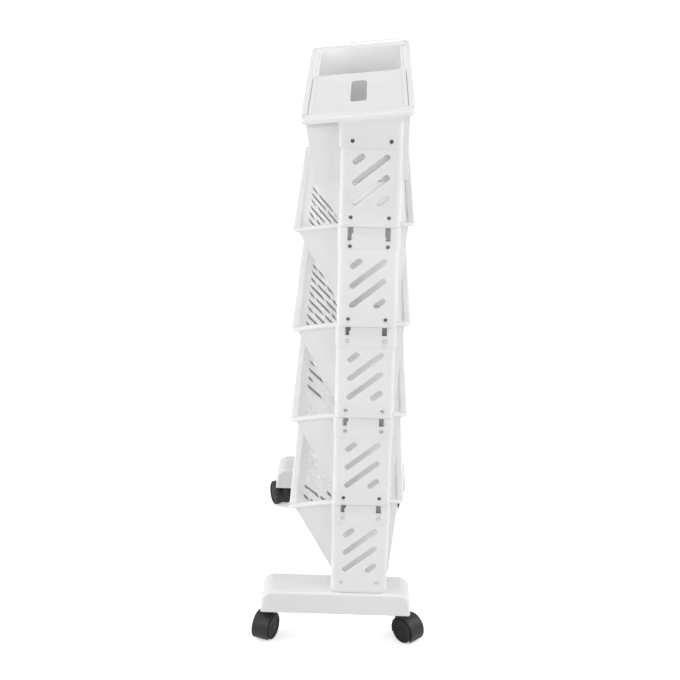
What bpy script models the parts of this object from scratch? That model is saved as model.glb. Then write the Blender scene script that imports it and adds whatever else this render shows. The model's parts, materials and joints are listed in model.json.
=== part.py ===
"""Slim rolling rack: four slanted bins and a lidded top box between two columns on castor feet.

Metres. +X is the back, -Y is the near end, +Z is up and z = 0 is the floor. Pieces are drawn with
x = 0 at the middle of the columns, then one root empty moves the rack over its own base centre.
"""

import math

import bmesh
import bpy
from mathutils import Matrix, Vector

# Fits
CLEARANCE = 0.0003
RUNNING_FIT = 0.0003
OVERLAP = 0.0015
FLAT_ANGLE = math.radians(0.05)

# Whole rack
RACK_LENGTH = 0.530
BIN_COUNT = 4
CASTOR_HEIGHT = 0.057

# Column sections
SECTION_HEIGHT = 0.160
SECTION_EXTRA = 0.008
POST_WIDTH = 0.096
POST_DEPTH = 0.018
POST_PLATE = 0.003
POST_CORNER = 0.008
WALL = 0.003
COLLAR_HEIGHT = 0.036
COLLAR_OVER = 0.0015
COLLAR_RECESS = 0.0008
COLLAR_STEP = 0.0006

# Slots, holes and windows of a section, measured up from its pattern line
SLOT_WIDTH = 0.0095
SLOT_ANGLE = math.radians(40.0)
SLOT_FIELD_HALF = 0.0245
SLOT_FIELD_BOTTOM = 0.0365
SLOT_FIELD_TOP = 0.1115
SLOT_SPACING = 0.033
SCREW_HOLE = 0.0078
SCREW_COLUMN = 0.030
LOW_SCREW = 0.0132
WINDOW_WIDTH = 0.0095
WINDOW_BASE = 0.1455
WINDOW_TO_SCREW = 0.0095
TOP_PATTERN_RISE = 0.0025

# Joining brackets behind the windows
BRACKET_STRAP = 0.0064
BRACKET_PLATE = 0.0015
BRACKET_ROOM = 0.003
BRACKET_DOWN = 0.037
BRACKET_WEB = 0.016

# Bins, measured from the seam at the top of their own section
BIN_FRONT = 0.112
BIN_BACK = 0.062
BIN_DEPTH = 0.135
FLOOR_SHIFT = 0.002
FLOOR_PLATE = 0.0025
RIM_HEIGHT = 0.0055
RIM_ROUND = 0.0025
RIM_CORNER = 0.007
FRONT_OVERHANG = 0.009
BACK_OVERHANG = 0.0095
END_OVERHANG = 0.008
LIP_DROP = 0.011
KINK_X = 0.065
KINK_RISE = -0.002
BACK_RISE = 0.0055
LEDGE_PLATE = 0.0027
LEDGE_SETBACK = 0.002

# Slots of the front grilles, measured in the plane of the wall
GRILLE_SLOT = 0.009
GRILLE_ANGLE = math.radians(46.0)
GRILLE_LINES = 11
GRILLE_START = 0.048
GRILLE_END = 0.0217
GRILLE_DOWN = 0.018
GRILLE_RUN = 0.130
GRILLE_GAP = 0.009
GRILLE_SHORT = 0.022

# Top box
TOP_FRONT = 0.104
TOP_BACK = 0.058
TOP_RIM_RISE = 0.171
TOP_SLOPE = 0.1136
TOP_RIM_HEIGHT = 0.009
TOP_RIM_PLATE = 0.003
TOP_CROWN_PLATE = 0.002
TOP_FRONT_OVERHANG = 0.008
TOP_BACK_OVERHANG = 0.0075
TOP_END_OVERHANG = 0.007
TOP_CORNER = 0.009
TOP_WALL = 0.0025
TOP_DEPTH = 0.107
TOP_FLOOR_FRONT = 0.090
TOP_FLOOR_SLOPE = 0.064
TOP_GUSSET_RISE = 0.004
GRIP_FRONT = 0.053
GRIP_BACK = 0.048
GRIP_HEIGHT = 0.005
GRIP_WIDTH = 0.009
GRIP_INSET = 0.001

# Lid
LID_LENGTH = 0.268
LID_PLATE = 0.0042
LID_SEAT = 0.0075
LID_PLAY = 0.001
LID_BORDER = 0.006
LID_PANEL_DROP = 0.001
LID_SLOT_WIDTH = 0.026
LID_SLOT_LENGTH = 0.150
LID_SLOT_CORNER = 0.008

# Feet
FOOT_HEIGHT = 0.040
FOOT_LENGTH = 0.258
FOOT_DEPTH = 0.067
FOOT_SHIFT = 0.039
FOOT_FRONT = 0.005
FOOT_TAPER = 0.0035
FOOT_CORNER = 0.019
FOOT_EDGE = 0.004
TENON_PLAY = 0.001

# Castors
STEM_INSET = 0.016
STEM_RADIUS = 0.0038
STEM_GRIP = 0.026
STEM_BOTTOM = 0.027
WHEEL_RADIUS = 0.0220
WHEEL_WIDTH = 0.0105
WHEEL_SIDES = 20
WHEEL_GAP = 0.0005
WHEEL_WEB = 0.002
CASTOR_TRAIL = 0.019
FIN_THICKNESS = 0.0106
HOOD_GAP = 0.0012
HOOD_PLATE = 0.0024
HOOD_WIDTH = 0.0300
HOOD_FROM = math.radians(-38.0)
HOOD_TO = math.radians(122.0)
HOOD_APRON = math.radians(205.0)
BOSS_RADIUS = 0.009
BOSS_HEIGHT = 0.013
AXLE_RADIUS = 0.0027
NEAR_FRONT_TURN = math.radians(-113.0)
NEAR_BACK_TURN = math.radians(-45.0)
FAR_FRONT_TURN = math.radians(113.0)
FAR_BACK_TURN = math.radians(178.0)

# Values that follow from the sizes above. d is the distance out from the middle of the rack.
POST_FACE = RACK_LENGTH / 2
POST_HALF = POST_WIDTH / 2
WALL_OUT = POST_FACE - POST_DEPTH
WALL_IN = WALL_OUT - WALL
POST_INNER = POST_FACE - POST_PLATE
POST_HALF_IN = POST_HALF - WALL
POST_BACK = WALL_IN + CLEARANCE
RIM_BACK = WALL_IN + CLEARANCE / 2
PANEL_END = WALL_IN - CLEARANCE
FOOT_TOP = CASTOR_HEIGHT + FOOT_HEIGHT
INNER_CORNER = POST_CORNER - POST_PLATE
HIGH_SCREW = WINDOW_BASE - WINDOW_TO_SCREW
GRILLE_SPAN = RACK_LENGTH - GRILLE_START - GRILLE_END - GRILLE_RUN * math.cos(GRILLE_ANGLE)
GRILLE_PITCH = GRILLE_SPAN / (GRILLE_LINES - 1)
UNDER_LEDGE = SECTION_HEIGHT - BIN_DEPTH - CLEARANCE - LEDGE_PLATE
BRACKET_UP = UNDER_LEDGE - BRACKET_ROOM
TENON_HEIGHT = UNDER_LEDGE + SECTION_EXTRA - TENON_PLAY
TENON_HALF = POST_HALF_IN - POST_CORNER - INNER_CORNER - TENON_PLAY
TAB_HALF = POST_HALF_IN - CLEARANCE
TAB_END = POST_INNER - INNER_CORNER - CLEARANCE
LEDGE_START = WALL_IN + LEDGE_SETBACK


def seam_height(index):
    """Top of bin section index, counted from the bottom; index 0 is the foot top."""
    extra = SECTION_EXTRA * ((index >= 1) + (index >= BIN_COUNT))
    return FOOT_TOP + SECTION_HEIGHT * index + extra


TOP_SEAM = seam_height(BIN_COUNT)
TOP_RIM_FRONT = TOP_SEAM + TOP_RIM_RISE


def material(name, colour, roughness, metallic):
    made = bpy.data.materials.new(name)
    made.use_nodes = True
    shader = made.node_tree.nodes["Principled BSDF"]
    shader.inputs["Base Color"].default_value = (*colour, 1.0)
    shader.inputs["Roughness"].default_value = roughness
    shader.inputs["Metallic"].default_value = metallic
    return made


def finish(bm, name):
    """Turn a bmesh into a mesh with its faces looking outward."""
    bmesh.ops.recalc_face_normals(bm, faces=bm.faces)
    mesh = bpy.data.meshes.new(name)
    bm.to_mesh(mesh)
    bm.free()
    return mesh


def loft(loops, name="loft"):
    """Closed solid through loops of equal point counts, capped at both ends."""
    bm = bmesh.new()
    rings = [[bm.verts.new(point) for point in loop] for loop in loops]
    count = len(rings[0])
    for low, high in zip(rings, rings[1:]):
        for i in range(count):
            j = (i + 1) % count
            bm.faces.new((low[i], low[j], high[j], high[i]))
    bm.faces.new(rings[0])
    bm.faces.new(rings[-1])
    return finish(bm, name)


def along_y(points, start, end, name="bar"):
    """Prism of (x, z) points between two values of y."""
    return loft([[(x, y, z) for x, z in points] for y in (start, end)], name)


def near(points, inner, outer):
    """Prism of (x, z) points in the near end frame, between two distances out."""
    return along_y(points, -outer, -inner)


def box(low, high):
    (x0, y0, z0), (x1, y1, z1) = low, high
    return along_y([(x0, z0), (x1, z0), (x1, z1), (x0, z1)], y0, y1)


def tube(radius, bottom, top, sides=12):
    """Upright cylinder about the z axis."""
    turn = 2 * math.pi / sides
    ring = [((i + 0.5) * turn, radius) for i in range(sides)]
    return loft([[(r * math.cos(a), r * math.sin(a), z) for a, r in ring] for z in (bottom, top)])


def turned(profile, sides):
    """Solid turned about the y axis from (radius, y) points that start and end on the axis."""
    bm = bmesh.new()
    turn = 2 * math.pi / sides
    rings = []
    for radius, y in profile:
        if radius == 0:
            rings.append([bm.verts.new((0, y, 0))])
            continue
        angles = [(i + 0.5) * turn - math.pi / 2 for i in range(sides)]
        rings.append([bm.verts.new((radius * math.cos(a), y, radius * math.sin(a))) for a in angles])
    for low, high in zip(rings, rings[1:]):
        for i in range(sides):
            j = (i + 1) % sides
            corners = [low[i % len(low)], low[j % len(low)], high[j % len(high)], high[i % len(high)]]
            bm.faces.new(list(dict.fromkeys(corners)))
    return finish(bm, "turned")


def arc(x, z, radius, start, end, steps):
    angles = [start + (end - start) * i / steps for i in range(steps + 1)]
    return [(x + radius * math.cos(a), z + radius * math.sin(a)) for a in angles]


def rounded(corners, steps=3):
    """Outline in which each (x, z, radius) corner with a radius becomes a short arc."""
    points = []
    for i, (x, z, radius) in enumerate(corners):
        here = Vector((x, z))
        if radius == 0:
            points.append((x, z))
            continue
        before = (Vector(corners[i - 1][:2]) - here).normalized()
        after = (Vector(corners[(i + 1) % len(corners)][:2]) - here).normalized()
        half = before.angle(after) / 2
        reach = radius / math.tan(half)
        centre = here + (before + after).normalized() * (radius / math.sin(half))
        first = here + before * reach - centre
        last = here + after * reach - centre
        sweep = first.angle_signed(last)
        start = math.atan2(first.y, first.x)
        points += arc(centre.x, centre.y, radius, start, start - sweep, steps)
    return points


def capsule(centre, length, width, angle, steps=3):
    """Outline of a slot with round ends; length is between the centres of the ends."""
    x, z = centre
    dx, dz = math.cos(angle) * length / 2, math.sin(angle) * length / 2
    quarter = math.pi / 2
    first = arc(x + dx, z + dz, width / 2, angle - quarter, angle + quarter, steps)
    second = arc(x - dx, z - dz, width / 2, angle + quarter, angle + 3 * quarter, steps)
    return first + second


def moved(mesh, matrix):
    mesh.transform(matrix)
    if matrix.determinant() < 0:
        mesh.flip_normals()
    return mesh


def gathered(meshes):
    """One mesh that holds several separate cutters."""
    bm = bmesh.new()
    for mesh in meshes:
        bm.from_mesh(mesh)
    return finish(bm, "gathered")


def combined(mesh, other, operation):
    """New mesh: mesh with other joined on (UNION), cut away (DIFFERENCE) or kept (INTERSECT)."""
    pair = []
    for data in (mesh, other):
        helper = bpy.data.objects.new("helper", data)
        bpy.context.scene.collection.objects.link(helper)
        pair.append(helper)
    step = pair[0].modifiers.new("step", "BOOLEAN")
    step.operation = operation
    step.solver = "EXACT"
    step.object = pair[1]
    bpy.context.view_layer.update()
    graph = bpy.context.evaluated_depsgraph_get()
    result = bpy.data.meshes.new_from_object(pair[0].evaluated_get(graph))
    for helper in pair:
        bpy.data.objects.remove(helper)
    bm = bmesh.new()
    bm.from_mesh(result)
    bmesh.ops.dissolve_limit(bm, angle_limit=FLAT_ANGLE, verts=bm.verts, edges=bm.edges)
    return finish(bm, "combined")


def joined(mesh, additions):
    for addition in additions:
        mesh = combined(mesh, addition, "UNION")
    return mesh


def mirrored(mesh):
    """Copy of a near-end mesh for the far end."""
    return moved(mesh.copy(), Matrix.Scale(-1, 4, (0, 1, 0)))


def place(name, mesh, surface, parent, location=(0, 0, 0)):
    """Add one named piece to the rack."""
    mesh.name = name
    mesh.materials.clear()
    mesh.materials.append(surface)
    mesh.shade_smooth()
    mesh.set_sharp_from_angle(angle=math.radians(32))
    piece = bpy.data.objects.new(name, mesh)
    bpy.context.scene.collection.objects.link(piece)
    piece.parent = parent
    piece.location = location
    return piece


def rim_top(x):
    """Height of a bin rim above its seam: level behind, falling to the lip in front."""
    lip = -(BIN_FRONT + FRONT_OVERHANG)
    back = BIN_BACK + BACK_OVERHANG
    if x < -KINK_X:
        return -LIP_DROP + (KINK_RISE + LIP_DROP) * (x - lip) / (-KINK_X - lip)
    return KINK_RISE + (BACK_RISE - KINK_RISE) * (x + KINK_X) / (back + KINK_X)


def top_rim(x):
    """World height of the sloping rim of the top box."""
    return TOP_RIM_FRONT + TOP_SLOPE * (x + TOP_FRONT + TOP_FRONT_OVERHANG)


def top_floor(x):
    """World height of the underside of the tilted floor of the top box."""
    return TOP_RIM_FRONT - TOP_DEPTH + TOP_FLOOR_SLOPE * (x + TOP_FLOOR_FRONT)


def post_loop(half, face, inner_half, height):
    """Cross-section of the open-backed post; height is a function of x."""
    quarter = math.pi / 2
    right = arc(half - POST_CORNER, face - POST_CORNER, POST_CORNER, 0, quarter, 3)
    turn_in = (inner_half - INNER_CORNER, POST_INNER - INNER_CORNER, INNER_CORNER)
    inner = arc(*turn_in, quarter, 0, 1)
    outline = [(half, POST_BACK), *right]
    outline += [(-x, d) for x, d in reversed(outline)]
    inside = [(-x, d) for x, d in reversed(inner)]
    outline += [(-inner_half, POST_BACK), *inside, *inner, (inner_half, POST_BACK)]
    return [(x, -d, height(x)) for x, d in outline]


def post(bottom, collar, top, round_foot):
    """Post of one section with its collar. round_foot rounds the two bottom corners."""
    loops = []
    if round_foot:
        for i in range(3):
            angle = math.pi / 2 * i / 3
            drop = POST_CORNER * (1 - math.sin(angle))
            z = bottom + POST_CORNER * (1 - math.cos(angle))
            loops.append(post_loop(POST_HALF - drop, POST_FACE, POST_HALF_IN - drop, lambda x, z=z: z))
        bottom += POST_CORNER
    loops.append(post_loop(POST_HALF, POST_FACE, POST_HALF_IN, lambda x: bottom))
    loops.append(post_loop(POST_HALF, POST_FACE, POST_HALF_IN, lambda x: collar))
    over, face = POST_HALF + COLLAR_OVER, POST_FACE - COLLAR_RECESS
    loops.append(post_loop(over, face, POST_HALF_IN, lambda x: collar + COLLAR_STEP))
    loops.append(post_loop(over, face, POST_HALF_IN, top))
    return loft(loops)


def section_cutter(pattern, window_top):
    """Slots, screw holes and clip windows of a section, as one cutter."""
    inner, outer = POST_INNER - OVERLAP, POST_FACE + OVERLAP
    middle = (SLOT_FIELD_BOTTOM + SLOT_FIELD_TOP) / 2
    rise = math.tan(SLOT_ANGLE)
    cuts = []
    for i in range(4):
        offset = middle + SLOT_SPACING * (1.5 - i)
        ends = []
        for edge in (-SLOT_FIELD_HALF, SLOT_FIELD_HALF):
            z = min(max(offset + edge * rise, SLOT_FIELD_BOTTOM), SLOT_FIELD_TOP)
            ends.append(Vector(((z - offset) / rise, z + pattern)))
        length = (ends[1] - ends[0]).length
        outline = capsule((ends[0] + ends[1]) / 2, length, SLOT_WIDTH, SLOT_ANGLE)
        cuts.append(near(outline, inner, outer))
    for side in (-1, 1):
        x = side * SCREW_COLUMN
        for z in (LOW_SCREW, HIGH_SCREW):
            outline = arc(x, pattern + z, SCREW_HOLE / 2, 0, math.tau * 7 / 8, 7)
            cuts.append(near(outline, inner, outer))
        if window_top is not None:
            left, right = x - WINDOW_WIDTH / 2, x + WINDOW_WIDTH / 2
            low, high = pattern + WINDOW_BASE, window_top + OVERLAP
            outline = [(left, low), (right, low), (right, high), (left, high)]
            cuts.append(near(outline, inner, outer))
    return gathered(cuts)


def rim_loop(x, inner, outer, top):
    """Cross-section of an end rim at x: flat inside, rounded outside."""
    quarter = math.pi / 2
    base = top - RIM_HEIGHT
    upper = arc(outer - RIM_ROUND, top - RIM_ROUND, RIM_ROUND, quarter, 0, 2)
    lower = arc(outer - RIM_ROUND, base + RIM_ROUND, RIM_ROUND, 0, -quarter, 1)
    outline = [(inner, base), (inner, top), *upper, *lower]
    return [(x, -d, z) for d, z in outline]


def end_rim(seam, start, end):
    """Rolled rim on the wing of an end frame, running from the post to a rounded corner."""
    outer = WALL_OUT + END_OVERHANG
    side = math.copysign(1, end - start)
    stations = [(start, outer)]
    if side < 0:
        stations.append((-KINK_X, outer))
    for i in range(3):
        angle = math.pi / 2 * i / 2
        x = end - side * RIM_CORNER * (1 - math.sin(angle))
        stations.append((x, outer - RIM_CORNER * (1 - math.cos(angle))))
    return loft([rim_loop(x, RIM_BACK, d, seam + rim_top(x)) for x, d in stations])


def front_line(depth):
    """x of the outside of the front wall at a depth below the seam."""
    start = RIM_HEIGHT - rim_top(-BIN_FRONT)
    share = (depth - start) / (BIN_DEPTH - start)
    return -BIN_FRONT + (BIN_FRONT - POST_HALF + FLOOR_SHIFT) * share


def back_line(depth):
    """x of the outside of the back wall at a depth below the seam."""
    return BIN_BACK - (BIN_BACK - POST_HALF - FLOOR_SHIFT) * depth / BIN_DEPTH


def bin_frame(index):
    """Near end frame of bin section index, counted from the bottom."""
    bottom, seam = seam_height(index - 1), seam_height(index)
    pattern = bottom + (SECTION_EXTRA if index == 1 else 0)
    top = seam - CLEARANCE
    base = bottom + (CLEARANCE if index == 1 else 0)
    frame = post(base, seam - COLLAR_HEIGHT, lambda x: top, index == 1)
    inside, beside = POST_HALF - OVERLAP, POST_HALF + CLEARANCE
    under = RIM_HEIGHT / 2
    start = RIM_HEIGHT - rim_top(-BIN_FRONT)
    front_wing = [
        (-inside, seam - BIN_DEPTH + OVERLAP),
        (-inside, seam - under),
        (-beside, seam - under),
        (-beside, seam + rim_top(-beside) - under),
        (-KINK_X, seam + rim_top(-KINK_X) - under),
        (-BIN_FRONT, seam + rim_top(-BIN_FRONT) - under),
        (front_line(start - OVERLAP), seam - start + OVERLAP),
    ]
    back_wing = [
        (inside, seam - BIN_DEPTH),
        (back_line(BIN_DEPTH), seam - BIN_DEPTH),
        (BIN_BACK, seam),
        (BIN_BACK, seam + rim_top(BIN_BACK) - under),
        (beside, seam + rim_top(beside) - under),
        (beside, seam - under),
        (inside, seam - under),
    ]
    ledge_top = seam - BIN_DEPTH - CLEARANCE
    ledge = [(-inside, ledge_top - LEDGE_PLATE), (inside, ledge_top - LEDGE_PLATE)]
    ledge += [(inside, ledge_top), (-inside, ledge_top)]
    frame = joined(
        frame,
        [
            near(front_wing, WALL_IN, WALL_OUT),
            near(back_wing, WALL_IN, WALL_OUT),
            near(ledge, LEDGE_START, POST_INNER + OVERLAP),
            end_rim(seam, -beside, -BIN_FRONT - FRONT_OVERHANG),
            end_rim(seam, beside, BIN_BACK + BACK_OVERHANG),
        ],
    )
    return combined(frame, section_cutter(pattern, seam), "DIFFERENCE")


def top_end_rim():
    """Wide end rim of the top box: a sloping plate with a skirt on its three outer sides."""
    left, right = -TOP_FRONT - TOP_FRONT_OVERHANG, TOP_BACK + TOP_BACK_OVERHANG
    outer = POST_FACE + TOP_END_OVERHANG

    def slab(grow, inner, low, high):
        quarter = math.pi / 2
        corner = TOP_CORNER + grow
        far = outer + grow
        plan = [(right + grow, inner)]
        plan += arc(right + grow - corner, far - corner, corner, 0, quarter, 3)
        plan += arc(left - grow + corner, far - corner, corner, quarter, 2 * quarter, 3)
        plan += [(left - grow, inner)]
        return loft([[(x, -d, top_rim(x) + z) for x, d in plan] for z in (low, high)])

    rim = slab(0, RIM_BACK, -TOP_RIM_HEIGHT, -RIM_ROUND / 2)
    crown = slab(-RIM_ROUND / 2, RIM_BACK, -TOP_CROWN_PLATE, 0)
    hollow = slab(-TOP_WALL, WALL_IN - OVERLAP, -TOP_RIM_HEIGHT - OVERLAP, -TOP_RIM_PLATE)
    return combined(combined(rim, hollow, "DIFFERENCE"), crown, "UNION")


def top_frame(grip):
    """Near top frame: last post section, ends of the top box and its wide rim."""
    pattern = TOP_SEAM + TOP_PATTERN_RISE
    collar = pattern + SECTION_HEIGHT - COLLAR_HEIGHT
    half_plate = TOP_RIM_PLATE / 2
    frame = post(TOP_SEAM, collar, lambda x: top_rim(x) - half_plate, False)
    inside = POST_HALF - OVERLAP
    over_tab = FLOOR_PLATE + CLEARANCE
    end_wall = [
        (-inside, TOP_SEAM + TOP_GUSSET_RISE),
        (-inside, top_floor(-inside) + over_tab),
        (inside, top_floor(inside) + over_tab),
        (inside, top_floor(inside)),
        (TOP_BACK, top_floor(TOP_BACK)),
        (TOP_BACK, top_rim(TOP_BACK) - half_plate),
        (-TOP_FRONT, top_rim(-TOP_FRONT) - half_plate),
        (-TOP_FRONT, top_rim(-TOP_FRONT) - TOP_RIM_HEIGHT),
        (-TOP_FLOOR_FRONT, top_floor(-TOP_FLOOR_FRONT)),
    ]
    low, high = CLEARANCE + LEDGE_PLATE, CLEARANCE
    ledge = [(-inside, top_floor(-inside) - low), (inside, top_floor(inside) - low)]
    ledge += [(inside, top_floor(inside) - high), (-inside, top_floor(-inside) - high)]
    additions = [
        near(end_wall, WALL_IN, WALL_OUT),
        near(ledge, LEDGE_START, POST_INNER + OVERLAP),
        top_end_rim(),
    ]
    if grip:
        outer = POST_FACE + TOP_END_OVERHANG - GRIP_INSET
        outline = [
            (-GRIP_FRONT, top_rim(-GRIP_FRONT) - OVERLAP, 0),
            (GRIP_BACK, top_rim(GRIP_BACK) - OVERLAP, 0),
            (GRIP_BACK, top_rim(GRIP_BACK) + GRIP_HEIGHT, GRIP_INSET),
            (-GRIP_FRONT + GRIP_HEIGHT, top_rim(-GRIP_FRONT) + GRIP_HEIGHT, GRIP_INSET),
        ]
        additions.append(near(rounded(outline), outer - GRIP_WIDTH, outer))
    frame = joined(frame, additions)
    return combined(frame, section_cutter(pattern, None), "DIFFERENCE")


def bracket(seam):
    """H-shaped joining plate behind the windows of two stacked sections."""
    inner, outer = SCREW_COLUMN - BRACKET_STRAP / 2, SCREW_COLUMN + BRACKET_STRAP / 2
    low, high, web = seam - BRACKET_DOWN, seam + BRACKET_UP, seam - BRACKET_WEB
    right = [(inner, web), (inner, low), (outer, low), (outer, high), (inner, high), (inner, seam)]
    outline = right + [(-x, z) for x, z in reversed(right)]
    face = POST_INNER - CLEARANCE
    return near(outline, face - BRACKET_PLATE, face)


def front_grille(seam):
    """Slanted front wall of a bin with its lip and its rows of slots."""
    start = RIM_HEIGHT - rim_top(-BIN_FRONT)
    top = Vector((-BIN_FRONT, -start))
    foot = Vector((front_line(BIN_DEPTH), -BIN_DEPTH))
    down = (foot - top).normalized()
    normal = Vector((-down.y, down.x))
    lip = -BIN_FRONT - FRONT_OVERHANG
    inner_top = top + normal * WALL
    inner_foot = foot + normal * WALL
    corners = [
        (lip, rim_top(lip) - RIM_HEIGHT, RIM_ROUND),
        (top.x, top.y, 0),
        (foot.x, foot.y, 0),
        (inner_foot.x, inner_foot.y, 0),
        (inner_top.x, inner_top.y, 0),
        (inner_top.x, rim_top(inner_top.x), RIM_ROUND),
        (lip, rim_top(lip), RIM_ROUND),
    ]
    outline = [(x, seam + z) for x, z in rounded(corners)]
    wall = along_y(outline, -PANEL_END, PANEL_END)
    axes = Matrix(((0, down.x, normal.x), (1, 0, 0), (0, down.y, normal.y))).to_4x4()
    axes.translation = (inner_top.x, 0, seam + inner_top.y)
    middle = GRILLE_RUN - 2 * GRILLE_SHORT - 2 * GRILLE_GAP
    even_line = (middle, GRILLE_RUN - GRILLE_GAP - middle)
    odd_line = (GRILLE_SHORT, middle, GRILLE_SHORT)
    cuts = []
    for line in range(GRILLE_LINES):
        reach = 0
        for piece in odd_line if line % 2 else even_line:
            along = reach + piece / 2
            u = -POST_FACE + GRILLE_START + GRILLE_PITCH * line + along * math.cos(GRILLE_ANGLE)
            v = GRILLE_DOWN + along * math.sin(GRILLE_ANGLE)
            outline = capsule((u, v), piece - GRILLE_SLOT, GRILLE_SLOT, GRILLE_ANGLE, 2)
            sides = (-WALL - OVERLAP, OVERLAP)
            cuts.append(moved(loft([[(a, b, w) for a, b in outline] for w in sides]), axes))
            reach += piece + GRILLE_GAP
    return combined(wall, gathered(cuts), "DIFFERENCE")


def back_panel(seam):
    """Plain back wall of a bin with its rim."""
    edge = BIN_BACK + BACK_OVERHANG
    corners = [
        (edge, rim_top(edge) - RIM_HEIGHT, RIM_ROUND),
        (edge, rim_top(edge), RIM_ROUND),
        (BIN_BACK - WALL, rim_top(BIN_BACK - WALL), RIM_ROUND),
        (BIN_BACK - WALL, 0, 0),
        (back_line(BIN_DEPTH) - WALL, -BIN_DEPTH, 0),
        (back_line(BIN_DEPTH), -BIN_DEPTH, 0),
        (BIN_BACK, 0, 0),
    ]
    outline = [(x, seam + z) for x, z in rounded(corners)]
    return along_y(outline, -PANEL_END, PANEL_END)


def floor_plan(left, right):
    """(x, y) outline of a floor between two walls, with a tab at each end for the post."""
    start, end = max(left, -TAB_HALF), min(right, TAB_HALF)
    side = [(left, PANEL_END), (start + CLEARANCE, PANEL_END), (start + CLEARANCE, TAB_END)]
    side += [(end, TAB_END), (end, PANEL_END), (right, PANEL_END)]
    return side + [(x, -y) for x, y in reversed(side)]


def bin_floor(seam):
    """Floor of a bin, its tabs resting on the ledges inside the posts."""
    start = RIM_HEIGHT - rim_top(-BIN_FRONT)
    slope = math.atan2(BIN_DEPTH - start, BIN_FRONT + front_line(BIN_DEPTH))
    reach = WALL / math.sin(slope) + CLEARANCE
    loops = []
    for depth in (BIN_DEPTH, BIN_DEPTH - FLOOR_PLATE):
        plan = floor_plan(front_line(depth) + reach, back_line(depth) - WALL - CLEARANCE)
        loops.append([(x, y, seam - depth) for x, y in plan])
    return loft(loops)


def top_front_panel():
    """Front wall of the top box with rim, skirt and the ledge that carries the lid."""
    edge = -TOP_FRONT - TOP_FRONT_OVERHANG
    face = -TOP_FRONT + TOP_WALL
    low = top_floor(-TOP_FLOOR_FRONT)
    corners = [
        (edge, -TOP_RIM_HEIGHT, 0),
        (edge, 0, RIM_ROUND),
        (face, 0, 0),
        (face, -LID_PLATE - CLEARANCE, 0),
        (face + LID_SEAT, -LID_PLATE - CLEARANCE, 0),
        (face + LID_SEAT, -LID_PLATE - CLEARANCE - TOP_WALL, 0),
        (face, -LID_PLATE - CLEARANCE - TOP_WALL, 0),
        (-TOP_FLOOR_FRONT + TOP_WALL, low - top_rim(-TOP_FLOOR_FRONT + TOP_WALL), 0),
        (-TOP_FLOOR_FRONT, low - top_rim(-TOP_FLOOR_FRONT), 0),
        (-TOP_FRONT, -TOP_RIM_PLATE, 0),
        (edge + TOP_WALL, -TOP_RIM_PLATE, 0),
        (edge + TOP_WALL, -TOP_RIM_HEIGHT, 0),
    ]
    outline = [(x, z + top_rim(x)) for x, z in rounded(corners)]
    return along_y(outline, -PANEL_END, PANEL_END)


def top_back_panel():
    """Back wall of the top box, like the front one but upright."""
    edge = TOP_BACK + TOP_BACK_OVERHANG
    face = TOP_BACK - TOP_WALL
    corners = [
        (edge, -TOP_RIM_HEIGHT, 0),
        (edge, 0, RIM_ROUND),
        (face, 0, 0),
        (face, -LID_PLATE - CLEARANCE, 0),
        (face - LID_SEAT, -LID_PLATE - CLEARANCE, 0),
        (face - LID_SEAT, -LID_PLATE - CLEARANCE - TOP_WALL, 0),
        (face, -LID_PLATE - CLEARANCE - TOP_WALL, 0),
        (face, top_floor(face) - top_rim(face), 0),
        (TOP_BACK, top_floor(TOP_BACK) - top_rim(TOP_BACK), 0),
        (TOP_BACK, -TOP_RIM_PLATE, 0),
        (edge - TOP_WALL, -TOP_RIM_PLATE, 0),
        (edge - TOP_WALL, -TOP_RIM_HEIGHT, 0),
    ]
    outline = [(x, z + top_rim(x)) for x, z in rounded(corners)]
    return along_y(outline, -PANEL_END, PANEL_END)


def top_floor_plate():
    """Tilted floor of the top box, its tabs resting on the ledges inside the posts."""
    left = -TOP_FLOOR_FRONT + TOP_WALL + CLEARANCE
    right = TOP_BACK - TOP_WALL - CLEARANCE
    plan = floor_plan(left, right)
    return loft([[(x, y, top_floor(x) + z) for x, y in plan] for z in (0, FLOOR_PLATE)])


def lid():
    """Sliding lid with a raised border and a long finger slot."""
    left = -TOP_FRONT + TOP_WALL + LID_PLAY
    right = TOP_BACK - TOP_WALL - LID_PLAY
    start = -PANEL_END + LID_PLAY
    end = start + LID_LENGTH

    def sheet(inset, low, high):
        plan = [(left + inset, start + inset), (right - inset, start + inset)]
        plan += [(right - inset, end - inset), (left + inset, end - inset)]
        return loft([[(x, y, top_rim(x) + z) for x, y in plan] for z in (low, high)])

    plate = sheet(0, -LID_PLATE, 0)
    panel = sheet(LID_BORDER, -LID_PANEL_DROP, OVERLAP)
    centre = ((left + right) / 2, (start + end) / 2)
    wide, long = LID_SLOT_WIDTH / 2, LID_SLOT_LENGTH / 2
    signs = ((-1, -1), (1, -1), (1, 1), (-1, 1))
    corners = [(centre[0] + a * wide, centre[1] + b * long, LID_SLOT_CORNER) for a, b in signs]
    outline = rounded(corners, 4)
    levels = (-LID_PLATE - OVERLAP, OVERLAP)
    slot = loft([[(x, y, top_rim(x) + z) for x, y in outline] for z in levels])
    return combined(combined(plate, panel, "DIFFERENCE"), slot, "DIFFERENCE")


def stem_spots():
    """x of the two castor stems of a foot."""
    reach = FOOT_LENGTH / 2 - STEM_INSET
    return (-FOOT_SHIFT - reach, -FOOT_SHIFT + reach)


STEM_OUT = POST_FACE + FOOT_FRONT - FOOT_DEPTH / 2


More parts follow.
